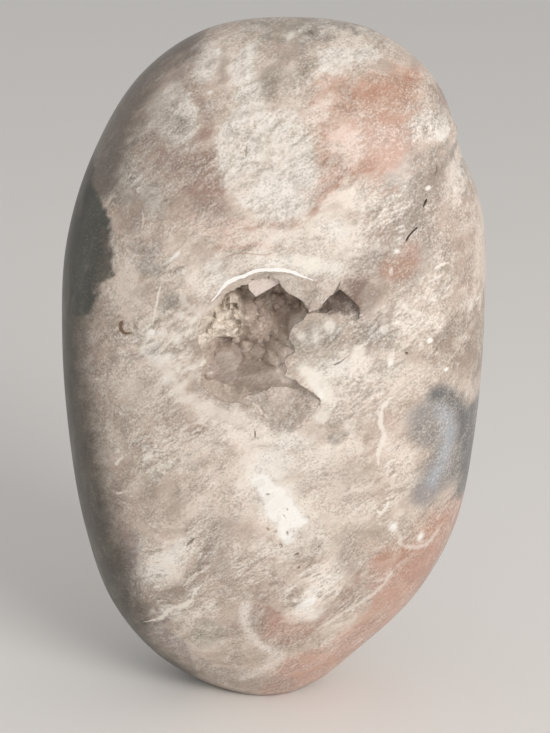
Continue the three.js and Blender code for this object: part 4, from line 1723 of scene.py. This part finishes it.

# The marks with an edge of their own: the blue-grey patch with a painted highlight, the seam with painted
# shade, painted light on the right edge, painted shade in the side pocket, and the spots.
PATCH_TINTS = (
    Tint("blue_rim", "#D3C6B9", 1.2, 0.4, (
        Trail(((12.6, 38.5), (15.2, 40.6), (17, 41.3), (19, 40.8), (21, 38.8), (22.4, 36)), 1.1),), 0.5),
    Tint("blue_grey", "#7E7E80", 2.2, 0.3, (
        Patch(((15.9, 38.3), (17.2, 39.3), (18.6, 39.4), (20.1, 38), (21.6, 35), (30, 32.6), (30, 28.8),
            (22.4, 27), (20.2, 27.6), (18.4, 26.9), (16.8, 25.9), (15.3, 27.1), (15.6, 29.2), (16.6, 31.1),
            (17.2, 32.8), (15.8, 33.3), (14.7, 35.1), (14.7, 36.8))),), 0.75),
    Tint("blue_dark", "#616263", 1.6, 0.3, (
        Trail(((17.6, 38.8), (19, 38.4), (20.3, 36.6), (21, 34.4), (21.2, 31.6), (20.4, 29)), 1.4),
        Trail(((22.2, 34.4), (22.6, 31), (22.2, 26.6)), 4.0)), 0.95),
    # A painted highlight: the light crescent in the blue-grey patch.
    Tint("blue_crescent_highlight", "#A6ADB6", 1.5, 0.15, (
        Trail(((18.2, 36.8), (19, 35.4), (19.2, 33.6), (18.9, 32), (18.2, 30.2), (17.4, 28.4)), 1.3),), 0.85),
    # Painted shade in the crease below the notch and beside the seam.
    Tint("seam_shade", "#94867B", 0.45, 0.25, (
        Trail(((19.6, 63.4), (18.6, 62.9), (17.6, 62.2), (17.0, 60.8)), 0.9),
        Patch(((17.4, 62.9), (17.1, 61.6), (16.9, 60.6), (16.8, 59.6), (16.4, 59.2), (15.8, 58.4), (16.3, 57),
            (15.3, 56.6), (14.4, 56.2), (13.8, 57.4), (14.8, 59.2), (15.9, 60.8), (16.9, 62.4))),
        Blob(15.4, 60.6, 1.2, 1.6)), 0.65),
    Tint("spot", "#B48D7A", 1.3, 0.3, (
        Blob(14.4, 53.7, 1.1, 1.5, -10), Blob(13.4, 53.1, 0.8, 0.6), Blob(13.0, 52.6, 1.6, 1.1)), 0.75),
    Tint("spot_core", "#A27F68", 0.9, 0.2, (Blob(14.1, 53.2, 0.6, 0.7), Blob(13.6, 52.7, 1.7, 1.2)), 0.5),
    # Painted light: a lighter band where the right edge catches the lamp.
    Tint("right_edge_painted_light", "#E3D4C7", 0.8, 0.3, (
        Patch(((22.2, 58), (21.8, 54.8), (21.6, 53.2), (21.8, 51.5), (22.6, 49.7), (26, 48.6),
            (26, 57))),), 0.6),
    Tint("side_pink", "#80675C", 1.2, 0.6, (
        Patch(((7.7, 50.4), (8.1, 51.6), (8.9, 51.8), (10.1, 51.5), (9.6, 50.2), (9.4, 48.6), (8.6, 49.4),
            (7.8, 50.6))),), 0.8),
    # Painted shade in the side pocket, under the bridge.
    Tint("side_pocket_shade", "#6E5B50", 0.5, 0.4, (
        Patch(((5.2, 48.2), (6.5, 49.8), (7.2, 50.8), (8.2, 50.2), (8.9, 49.3), (9.3, 48.2), (8.4, 47.8),
            (7, 48))),), 0.85),
    Tint("smudge", "#8C8176", 0.7, 0.15, (
        Blob(-9.7, 43.4, 0.5, 0.4), Blob(-11.9, 43.6, 0.9, 0.4, 30), Blob(-7.4, 44, 0.5, 0.9),
        Blob(-13.5, 44.7, 0.3, 0.4), Blob(-16.2, 41.8, 0.4, 0.7), Blob(-9.8, 49, 0.7, 1.0),
        Blob(-4.7, 72.3, 0.4, 1.3, -8), Blob(0.2, 70.6, 0.8, 1.3), Blob(18.7, 45.9, 0.5, 0.8),
        Blob(18.05, 50, 0.2, 0.7), Blob(14.5, 43.9, 0.4, 0.4), Blob(16.3, 43.1, 0.3, 0.3),
        Blob(19.8, 44.9, 0.6, 0.4), Blob(22.1, 39.2, 0.5, 0.4), Blob(7.3, 34.1, 0.5, 0.4),
        Blob(16, 66.2, 0.3, 0.8, 15), Blob(17.5, 64, 1, 0.35, 20), Blob(4.6, 50.1, 0.5, 0.5),
        Blob(-8.9, 66.9, 0.5, 0.6), Blob(6.6, 35.8, 0.6, 0.4)), 0.5),
    Tint("violet", "#98908F", 1.6, 0.3, (Blob(16.6, 27.2, 1.2, 1.2),), 0.6),
    Tint("forked", "#F1E7DF", 1.1, 0.45, (
        Trail(((-2.6, 14.2), (-2.7, 12.2), (-1.9, 10.2), (-0.4, 8.6), (1.4, 7.6)), 0.95),
        Trail(((1.4, 7.5), (0.2, 6.2), (-1.2, 4.8), (-3.0, 3.4)), 0.8)), 0.8),
)

# The whitest marks, which lie over the grain: small knobs, flecks and the white plate of the streak, a
# painted highlight that stands also for white quartz.
LIGHT_TINTS = (
    Tint("apron_glow", "#FBF5EA", 0.9, 0.4, (
        Trail(((3.9, 41.9), (5.2, 40.6), (6.3, 39.0)), 1.5), Blob(4.2, 53.2, 1.5, 0.7),
        Blob(5.5, 37, 0.8, 0.8)), 0.8),
    Tint("knob", "#F8F2E8", 0.7, 0.35, (
        Blob(-12.2, 45.2, 0.5, 0.5), Blob(-11.1, 45.3, 0.5, 0.4), Blob(-10.8, 42.4, 0.7, 0.5, 30),
        Trail(((-13.3, 43.2), (-11.5, 44.4)), 0.4), Blob(-9.4, 41.8, 0.4, 0.6), Blob(-9.0, 47.4, 0.4, 0.3),
        Blob(-7.9, 47.0, 0.5, 0.3), Blob(-9.5, 44.7, 0.4, 0.4),
        Trail(((-5.4, 48.2), (-5.3, 46.8), (-6.3, 45.3)), 0.4),
        Trail(((-6.3, 44.2), (-6.6, 42.7), (-7.5, 41.9), (-8.7, 41.7)), 0.4),
        Blob(-10.4, 40.6, 0.5, 1.2, -40), Blob(-9.2, 39.6, 0.4, 1.0, -40), Blob(3.4, 45.6, 0.5, 0.5),
        Blob(4.9, 45.6, 0.4, 0.8), Blob(6.3, 46.8, 0.5, 0.7), Blob(12.7, 43.1, 0.4, 0.8),
        Blob(9.3, 43.8, 0.9, 0.8), Trail(((13.7, 49.1), (14.5, 48.3), (15.6, 47.8)), 0.5),
        Blob(21.3, 47.5, 0.3, 0.8, -20), Blob(5.0, 40.4, 0.6, 1.4, 20), Blob(8.5, 35.4, 0.4, 0.7, 30),
        Blob(-1.9, 74, 0.4, 0.8), Blob(2.4, 75.3, 0.4, 0.25, 40), Blob(18, 65.5, 0.8, 0.5),
        Blob(-5.6, 52.7, 0.6, 0.3, 30)), 0.75),
    Tint("fleck", "#FFFCF5", 0.3, 0.12, (
        Blob(16.5, 60.5, 0.26, 0.16, 20), Blob(12.6, 52.4, 0.15, 0.4), Blob(13.2, 54.4, 0.3, 0.2, 30),
        Blob(22.2, 47.9, 0.25, 0.25), Blob(16.8, 44.8, 0.3, 0.27), Blob(15.9, 44.6, 0.2, 0.18),
        Blob(18.7, 41.3, 0.3, 0.25), Blob(12.7, 42.7, 0.25, 0.4, -20), Blob(3.3, 75.6, 0.2, 0.18),
        Blob(-6, 69.9, 0.35, 0.2, 30), Blob(-2, 71.5, 0.22, 0.22), Blob(-5.1, 73.7, 0.2, 0.3, -30),
        Blob(-12.2, 45.3, 0.3, 0.25), Blob(5.5, 39.2, 0.3, 0.5, 30), Trail(((-10.3, 53), (-9.2, 54)), 0.25),
        Trail(((-8, 73.6), (-7.2, 74.1)), 0.16)), 0.9),
    # The white streak: a painted highlight that stands also for a patch of white quartz.
    Tint("white_streak_and_highlight", "#FFFDF8", 0.6, 0.35, (
        Patch(((-1.7, 29.5), (-0.3, 30.1), (0.4, 29.3), (1.5, 28.6), (2.2, 27.8), (2.9, 26.4), (3.8, 25.1),
            (4, 24.8), (3.4, 24.1), (2.4, 23.7), (2.5, 22.3), (1.8, 22.2), (1.2, 23.2), (1, 24.4),
            (0.3, 24.9), (-0.3, 26.6), (-1, 28.1))),), 0.95),
    # The whitest cores: the first is painted highlight low on the face, and the other two are white flecks.
    Tint("white_and_highlight_cores", "#FFFDF8", 0.7, 0.4, (
        Blob(4.3, 14.7, 1.1, 0.6, 50), Blob(13.5, 23.7, 0.36, 0.5, 20), Blob(16.5, 22, 0.2, 0.34)), 0.9),
)

# The dark rind at the left, and the darker stone and painted shade along the upper-left rim and down the
# left side that lead into it.
RIM_TINTS = (
    # Darker stone along the upper-left rim, with painted shade.
    Tint("rim_colour_and_shade", "#6C625A", 2.4, 0.9, (
        Patch(((-6.0, 76.4), (-6.4, 75.2), (-7.8, 73.2), (-9.8, 71.6), (-12.2, 68.8), (-13.6, 66),
            (-15.2, 62), (-16.8, 58.4), (-30, 57), (-24, 72), (-10, 84))),), 0.85, Side.ALL),
    # Darker stone down the left side, with painted shade where it turns away from the lamp.
    Tint("flank_colour_and_shade", "#393225", 4.2, 0.4, (
        Patch(((-18.4, 47.5), (-19.2, 45), (-19.7, 42), (-19.2, 37), (-18.4, 32), (-17.8, 28), (-16.9, 25),
            (-16.2, 22), (-15.4, 19), (-15, 16), (-14.6, 14), (-13.9, 11), (-12.6, 7), (-8.2, 3.0), (-10, -6),
            (-24, 0), (-34, 20), (-34, 46))),), 0.92, Side.ALL),
    Tint("rind", "#45463F", 0.8, 0.7, (
        Patch(((-19.2, 59.5), (-17.6, 57.8), (-16.6, 55.9), (-16.5, 53.4), (-16.5, 51.7), (-16.6, 50.4),
            (-17.3, 49.8), (-18.1, 48.5), (-18.6, 47), (-19.6, 45.6), (-21, 45.3), (-34, 43),
            (-30, 60))),), 0.95, Side.ALL),
    Tint("rind_edge", "#6B5F56", 0.6, 0.3, (
        Trail(((-17.2, 55.2), (-17, 53.4), (-17, 51.6), (-17.6, 50.2)), 0.7),), 0.6),
)

# The last grain over all of it, again as coarse as it needs to be to show.
FINEST = (
    Mottle(2.6, 1.1, 36, 0.08, 0.1, "#D6C9BA", "#3F3A33", 6.0, 9.0, patchy=0.8, bar=0.2),
    Mottle(0.45, 0.3, 25, 0.09, 0.09, gain=4.0, painted_emboss_shift=0.5),
)

# The back, which has paler and redder patches, and the rind carried round to it.
BACK_LAYERS = (
    Tint("back_snow", "#F1E9DE", 2.4, 1.2, (
        Patch(((-9, 62), (-5, 66.5), (0, 67), (3.5, 63), (2, 58.5), (-3, 57), (-7.5, 58.5))),
        Blob(9.5, 45, 3.4, 2.2, 35), Blob(12, 38.5, 2.0, 2.6, 20), Blob(-4, 28, 3.4, 1.6, 35),
        Blob(3, 20, 3.6, 1.8, 40), Blob(10, 27, 2.2, 1.2, 30)), 0.65, Side.BACK),
    Tint("back_rust", "#B48D7D", 2.2, 1.2, (
        Trail(((12, 66), (8, 61), (5, 57), (0, 54.6), (-6, 54)), 1.4),
        Patch(((-4, 14), (2, 13), (7, 9), (6, 3), (-2, 4), (-6, 9)))), 0.6, Side.BACK),
    Tint("back_shade", "#938A7D", 2.6, 1.3, (
        Trail(((-8, 50), (-2, 46), (3, 41), (4, 35)), 3.0), Blob(10, 55, 3, 1.6, -30),
        Blob(-4, 38, 2, 1.2, 30)), 0.55, Side.BACK),
    Mottle(2.1, 1.8, 30, 0.42, 0.34, "#FDFAF4", "#A19D8C", 3.0, 7.0, painted_emboss_shift=0.2, gate="back_snow"),
    Mottle(0.5, 0.35, 35, 0.14, 0.14, CHALK, DUST, 2.0, 6.0, gate="back_snow"),
    Tint("back_rind", "#4B473E", 1.8, 0.8, (
        Patch(((-30, 64), (-17, 62.5), (-14.5, 58), (-15, 54), (-13, 50), (-12.5, 45), (-14.5, 39), (-13, 32),
            (-14, 25), (-11.5, 17), (-10, 10), (-11, 3), (-15, -6), (-34, 0))),), 0.9, Side.BACK),
    Mottle(6.0, 2.6, 60, 0.26, 0.24, "#7A7666", "#2B2B26", 4.0, 6.0, gate="flank_colour_and_shade"),
    Mottle(5.0, 2.2, 60, 0.22, 0.22, "#74756A", "#2B2C28", 4.0, 6.0, gate="rind"),
    Mottle(6.0, 2.6, 60, 0.30, 0.26, "#857C6C", "#2B2B26", 4.0, 6.0, gate="back_rind"),
)

# Thin veins and healed cracks, and one painted shadow line.
STONE_VEINS = (
    VeinSet("white_vein", "#F3ECE1", (
        Vein(((13.2, 39.1), (12.3, 38.4), (11.8, 37.2), (11.8, 35.9), (12.1, 34.9), (12.1, 34.2), (11.6, 33),
            (11.6, 31.2)), 0.24),
        Vein(((-13.8, 10.1), (-11.6, 11.7), (-10.9, 12.9), (-9.3, 13.6), (-8.4, 14.6), (-8.1, 15.6),
            (-7.2, 16.7)), 0.22),
        Vein(((11.5, 26.1), (12, 25.6), (12.6, 26.4), (12.8, 27.2)), 0.16),
        Vein(((-7.2, 42), (-6.6, 42.6), (-6.1, 44), (-6.4, 45)), 0.2),
        Vein(((-11, 50.8), (-11.4, 49.5), (-11.6, 48.5), (-11.9, 47), (-12.1, 46.3)), 0.11),
        Vein(((17, 52.2), (18.1, 52.7), (18.8, 52.7)), 0.12), Vein(((-18.6, 38.8), (-18.2, 39.2)), 0.1),
        Vein(((-12.2, 32.6), (-11.6, 33)), 0.2), Vein(((-13.6, 30.8), (-12.2, 31.7)), 0.16),
        Vein(((-16.6, 29.6), (-15.6, 30.9)), 0.16), Vein(((-11.4, 29.6), (-10.9, 30)), 0.14),
        Vein(((-16.5, 26.2), (-15.8, 26.6)), 0.14), Vein(((-12.8, 44.6), (-12, 45)), 0.16),
        Vein(((8.8, 43.4), (9.2, 43.8)), 0.18), Vein(((12.4, 43), (12.9, 43.2)), 0.16),
        Vein(((16.6, 44.7), (17, 44.9)), 0.16), Vein(((16.2, 60.3), (16.8, 60.8)), 0.16)), 0.85, 0.6),
    VeinSet("soft_vein", "#E9E0D5", (
        Vein(((5.2, 10.9), (8.3, 13), (12, 15.7), (13.6, 18.1)), 0.2),
        Vein(((-9.1, 50.1), (-8.3, 48.4), (-6.4, 48.1), (-5, 49.3)), 0.4),
        Vein(((-13, 58), (-12.9, 57), (-13.2, 55.9)), 0.1),
        Vein(((13.2, 24), (14, 22.7), (14.4, 21.4), (15.4, 20.8), (16.9, 20.6), (17.9, 21.2),
            (18.9, 22.8)), 0.26),
        Vein(((-13.5, 43.2), (-10.8, 41.3), (-8.8, 38.7), (-6.1, 37.4), (-3.5, 36.4), (-0.9, 34.4)), 0.5),
        Vein(((-9.4, 33.4), (-9.1, 34.9), (-7.4, 35.8), (-6.2, 35.5)), 0.2),
        Vein(((7.6, 27.7), (8.9, 28.4), (10.1, 28.4), (11.4, 29.9)), 0.2)), 0.6, 0.8),
    VeinSet("back_vein", "#EFE7DB", (
        Vein(((-12, 22), (-8, 25), (-3, 26.4), (2, 30), (6, 31)), 0.2),
        Vein(((4, 52), (8, 50.6), (11, 47), (15, 45)), 0.18),
        Vein(((-6, 62), (-2, 60), (4, 60.6)), 0.14)), 0.7, 0.7, Side.BACK),
    VeinSet("red_crack", "#A2705E", (
        Vein(((-5, 53.4), (-3.8, 54), (-2.3, 54.2), (0.2, 54.2), (1.1, 55)), 0.06),
        Vein(((14, 71.3), (15, 70.9), (15.8, 70.7)), 0.09),
        Vein(((8.4, 62.3), (9.8, 62.6), (11, 62.9)), 0.08)), 0.4),
    VeinSet("amber_crack", "#6F5032", (
        Vein(((-15.2, 46.3), (-15.6, 45.6), (-15.4, 45), (-14.9, 44.8), (-14.3, 45.1)), 0.17),), 0.9),
    # Dark cracks; the second line is a painted shadow along the side pocket's upper edge.
    VeinSet("dark_crack_and_shadow_line", "#74675B", (
        Vein(((6.4, 42.4), (7.4, 42.8), (8.3, 43.6)), 0.07),
        Vein(((3.7, 47.9), (4.6, 48.2), (5.4, 48.5), (6.2, 49.3), (7, 50.4), (7.5, 51.6)), 0.13),
        Vein(((4.1, 75.6), (4.6, 75.4), (4.7, 75.1)), 0.1), Vein(((17.5, 63), (17.3, 62), (17, 61.4)), 0.12),
        Vein(((-8.9, 21.2), (-8.4, 21.9), (-7.8, 22.4)), 0.1)), 0.8),
)

# The druse: paler lacy knobs at the left, deep brown at the right, and the apron's grey.
CRUST_TINTS = (
    Tint("apron", "#A99B8F", 1.2, 0.6, (Patch(APRON.mouth),)),
    Tint("lump", "#BDADA1", 0.8, 0.4, (Blob(-1.2, 45.4, 2.4, 2.6),)),
    Tint("flake", "#EBDCD5", 0.1, 0.0, (
        Patch(((-2.1, 52.4), (0.6, 52.4), (1.2, 50.7), (-1.3, 49.1), (-2.0, 49.9))),)),
    Tint("pale", "#E6DBCD", 0.7, 0.5, (
        Patch(((-6.8, 47.5), (-5, 49.4), (-3.2, 48.8), (-2.8, 46.4), (-2.6, 44.6), (-5, 44.4),
            (-7.4, 44.6))),)),
    Tint("facet", "#B3A49A", 0.3, 0.2, (
        Patch(((-5.7, 43.8), (-5.2, 44.1), (-3.4, 43.9), (-2.8, 43.2), (-2.7, 40.8), (-3.6, 39.9),
            (-5.2, 39.8), (-6.4, 40.4), (-6.2, 41.9))),)),
    Tint("deep", "#BDADA1", 0.8, 0.3, (
        Patch(((1.1, 49.7), (2.2, 48.3), (4, 47.3), (3.5, 45.7), (2.4, 44.5), (0.8, 45.7), (-0.3, 47.7),
            (-1, 48))),)),
    Tint("pink", "#DFD0C6", 0.5, 0.3, (Trail(((2.0, 43.4), (1.3, 42.0), (1.9, 40.8)), 1.1),)),
)

CRUST_MOTTLES = (
    Mottle(1.6, 1.1, 38, 0.28, 0.3, "#DDD1C3", "#7A6B60", 4.0, 6.0),
    Mottle(0.9, 0.8, 0, 0.35, 0.4, "#EFE7DA", "#85796A", 2.0, 8.0, painted_emboss_shift=0.4, gate="pale"),
    Mottle(0.5, 0.3, 40, 0.25, 0.22, "#D9CDC0", "#6F6157", gain=6.0, painted_emboss_shift=0.5),
)


@dataclass(frozen=True)
class LipGlint:
    """The white lip over the pocket, a painted highlight that stands also for a white band of chalcedony: a
    thin line along a stretch of the pocket's mouth.
    """

    arc: Outline = POCKET.mouth[:7]
    half_width: float = 0.18
    taper: float = 5.0
    thinnest: float = 0.35
    reach: float = 1.6

    STEPS = 6
    FAR_OFF = 9.0

    def fields(self, points: Array, noise: LatticeNoise) -> tuple[Array, Array]:
        """The lip at points of the stone.

        Args:
            points: Rows of X, Y, Z.
            noise: What roughens the pocket's mouth.

        Returns:
            The signed distance over half the width, and how much the lip counts there.
        """
        x, y, z = points.T
        near = nearest_on(curve_through(self.arc, closed=False, steps=self.STEPS), x, z)
        end = np.minimum(near.along, 1 - near.along)
        half = self.half_width * np.clip(end * self.taper, self.thinnest, 1.0)
        ratio = np.clip((POCKET.inside(x, z, noise) + half) / half, -self.FAR_OFF, self.FAR_OFF)
        shown = (np.abs(near.offset) < self.reach) & (near.along > 0) & (near.along < 1) & (y < 0)
        return ratio, shown.astype(float)


STONE_LAYERS = (BED_TINTS + CLOUDS + VEILS + STROKES + PATCH_TINTS + SAND + LIGHT_TINTS + RIM_TINTS + FINEST
                + BACK_LAYERS)

# Banded chalcedony and pink amethyst, ground round and rubbed to a gloss. The eye gets soft cloudy colour
# with a torn, sugary grain in it, under a smooth skin whose highlights are wide and mild.
STONE_FINISH = RockFinish("polished_chalcedony", "#C9B8AA", STONE_LAYERS, STONE_VEINS, 0.34, 0.06)

# Druzy quartz as it grew, never polished. The eye gets small flat faces in grey-mauve and brown, each a
# little lighter or darker than the next, with clean edges between them.
CRUST_FINISH = RockFinish("quartz_druse", "#BDAFA2", CRUST_TINTS + CRUST_MOTTLES, (), 0.3, 0.06)


HOLLOW_MARGIN = 0.8
HOLLOW_LIMIT = 8.0


def hollow_depth(points: Array, pebble: Pebble) -> Array:
    """Measures how deep the stone's points lie in its hollows.

    Args:
        points: Rows of X, Y, Z.
        pebble: The skin that the depth is measured from.

    Returns:
        The depth in millimetres, and 0 for the rest of the stone.
    """
    x, y, z = points.T
    near = np.zeros(len(points), bool)
    for hollow in (POCKET, APRON, SIDE_POCKET, SEAM, CRACK):
        line = curve_through(hollow.mouth, closed=True, steps=hollow.MOUTH_STEPS)
        near |= inside_loop(line, x, z) > -HOLLOW_MARGIN
    return np.where(near & (y < 0), np.clip(y - pebble.face_y(x, z), 0.0, HOLLOW_LIMIT), 0.0)


@dataclass(frozen=True)
class Floor:
    """The plain pale board that the stone stands on, painted and matt, which gives an even ground."""

    half_width: float = 1000.0
    colour: str = "#F4F2EF"
    roughness: float = 0.8

    def build(self) -> None:
        """Lays the board down."""
        corners = np.array([[-1.0, -1.0, 0.0], [1.0, -1.0, 0.0], [1.0, 1.0, 0.0], [-1.0, 1.0, 0.0]])
        mesh = new_mesh("floor", corners * self.half_width, [[0, 1, 2, 3]])
        recipe = Recipe("painted_board")
        shader = recipe.add("BsdfPrincipled", {"Base Color": linear(self.colour),
                                               "Roughness": self.roughness})
        recipe.add("OutputMaterial", (shader,))
        mesh.materials.append(recipe.material)
        floor = add_object("floor", mesh)


@dataclass(frozen=True)
class Viewpoint:
    """The camera, which looks at the stone as the photograph does."""

    target: tuple[float, float, float] = STONE_MIDDLE
    distance: float = 230.0
    elevation: float = 18.0
    sensor_height: float = 36.0
    focal_pixels: float = 2080.0
    picture_pixels: float = 733.0
    clip_start: float = 0.01

    def build(self) -> None:
        """Sets the camera up and makes it the scene's own."""
        data = bpy.data.cameras.new("camera")
        data.sensor_fit = "VERTICAL"
        data.sensor_height = self.sensor_height
        data.lens = self.focal_pixels / self.picture_pixels * self.sensor_height
        data.clip_start = self.clip_start
        rise = math.radians(self.elevation)
        back = Vector((0.0, -math.cos(rise), math.sin(rise)))
        camera = add_object("camera", data)
        camera.location = (Vector(self.target) + back * self.distance) * MM
        camera.rotation_mode = "QUATERNION"
        camera.rotation_quaternion = (-back).to_track_quat("-Z", "Y")
        bpy.context.scene.camera = camera


@dataclass(frozen=True)
class StudioLight:
    """Plain soft light: a pale surround, and one large lamp in front at the upper right."""

    surround: tuple[float, float, float, float] = (1.0, 0.985, 0.97, 1.0)
    surround_strength: float = 0.49
    lamp_place: tuple[float, float, float] = (280.0, -400.0, 270.0)
    lamp_aim: tuple[float, float, float] = STONE_MIDDLE
    lamp_width: float = 250.0
    lamp_watts: float = 1.68
    lamp_colour: tuple[float, float, float] = (1.0, 0.955, 0.93)

    def build(self) -> None:
        """Makes the surround and hangs the lamp."""
        world = bpy.data.worlds.new("studio")
        world.use_nodes = True
        background = world.node_tree.nodes["Background"]
        background.inputs["Color"].default_value = self.surround
        background.inputs["Strength"].default_value = self.surround_strength
        bpy.context.scene.world = world
        data = bpy.data.lights.new("key", "AREA")
        data.size = self.lamp_width * MM
        data.energy = self.lamp_watts
        data.color = self.lamp_colour
        lamp = add_object("key", data)
        lamp.location = Vector(self.lamp_place) * MM
        lamp.rotation_mode = "QUATERNION"
        lamp.rotation_quaternion = (Vector(self.lamp_place) - Vector(self.lamp_aim)).to_track_quat("Z", "Y")


class PalmStone:
    """The whole object: the polished stone and the crust of crystals in its pocket."""

    AIR = Sheet(-9.0, 12.0, 33.5, 54.0, 0.25)
    CRUST_OVERLAP = 0.6
    NOISE_SEED = 5

    def __init__(self) -> None:
        """Takes the pebble's sizes and one noise for both pieces."""
        self.pebble = Pebble()
        self.noise = LatticeNoise(self.NOISE_SEED)
        self.stone = Stone(self.pebble, self.noise)
        self.crust = CrystalCrust(self.pebble, self.noise)

    def place(self, piece: bpy.types.Object, node: str, slot: str) -> None:
        """Attaches a piece to the root body, hides the CAD node that it stands for and logs its triangles.

        Args:
            piece: The piece.
            node: The CAD node that it stands for.
            slot: Its material slot, which is not used.
        """
        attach(piece, "root")
        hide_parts(node)
        triangles = sum(len(face.vertices) - 2 for face in piece.data.polygons)
        LOG.info("%s: %d triangles for %s", piece.name, triangles, node)

    def dress(self, piece: bpy.types.Object, finish: RockFinish) -> None:
        """Gives a piece its finish in place of what the cutting left."""
        piece.data.materials.clear()
        piece.data.materials.append(finish.material())

    def build(self) -> None:
        """Makes the stone and its crust, and dresses them."""
        stone = self.stone.build()
        self.place(stone, "stone", "polished_stone")
        STONE_FINISH.measure(stone.data, hollow_depth(points_of(stone.data), self.pebble))
        # The white line on the pocket's lip: a painted highlight that stands also for a white band of
        # chalcedony.
        for name, values in zip(("lip", "lip_strength"), LipGlint().fields(points_of(stone.data), self.noise)):
            STONE_FINISH.store(stone.data, name, values)
        self.dress(stone, STONE_FINISH)
        room = self.stone.cutter(self.AIR, (POCKET, APRON))
        points = points_of(room)
        points[:, 1] += self.CRUST_OVERLAP
        set_points(room, points)
        crust = self.crust.build(room)
        self.place(crust, "crystal_crust", "quartz_crystals")
        CRUST_FINISH.measure(crust.data, np.zeros(len(crust.data.vertices)))
        self.dress(crust, CRUST_FINISH)


def main() -> None:
    """Builds the palm stone, its floor, its light and its camera."""
    logging.basicConfig(level=logging.INFO, format="%(message)s")
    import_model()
    PalmStone().build()
    Floor().build()
    StudioLight().build()
    Viewpoint().build()
    bpy.context.scene.view_settings.view_transform = "Standard"


if __name__ == "__main__":
    main()
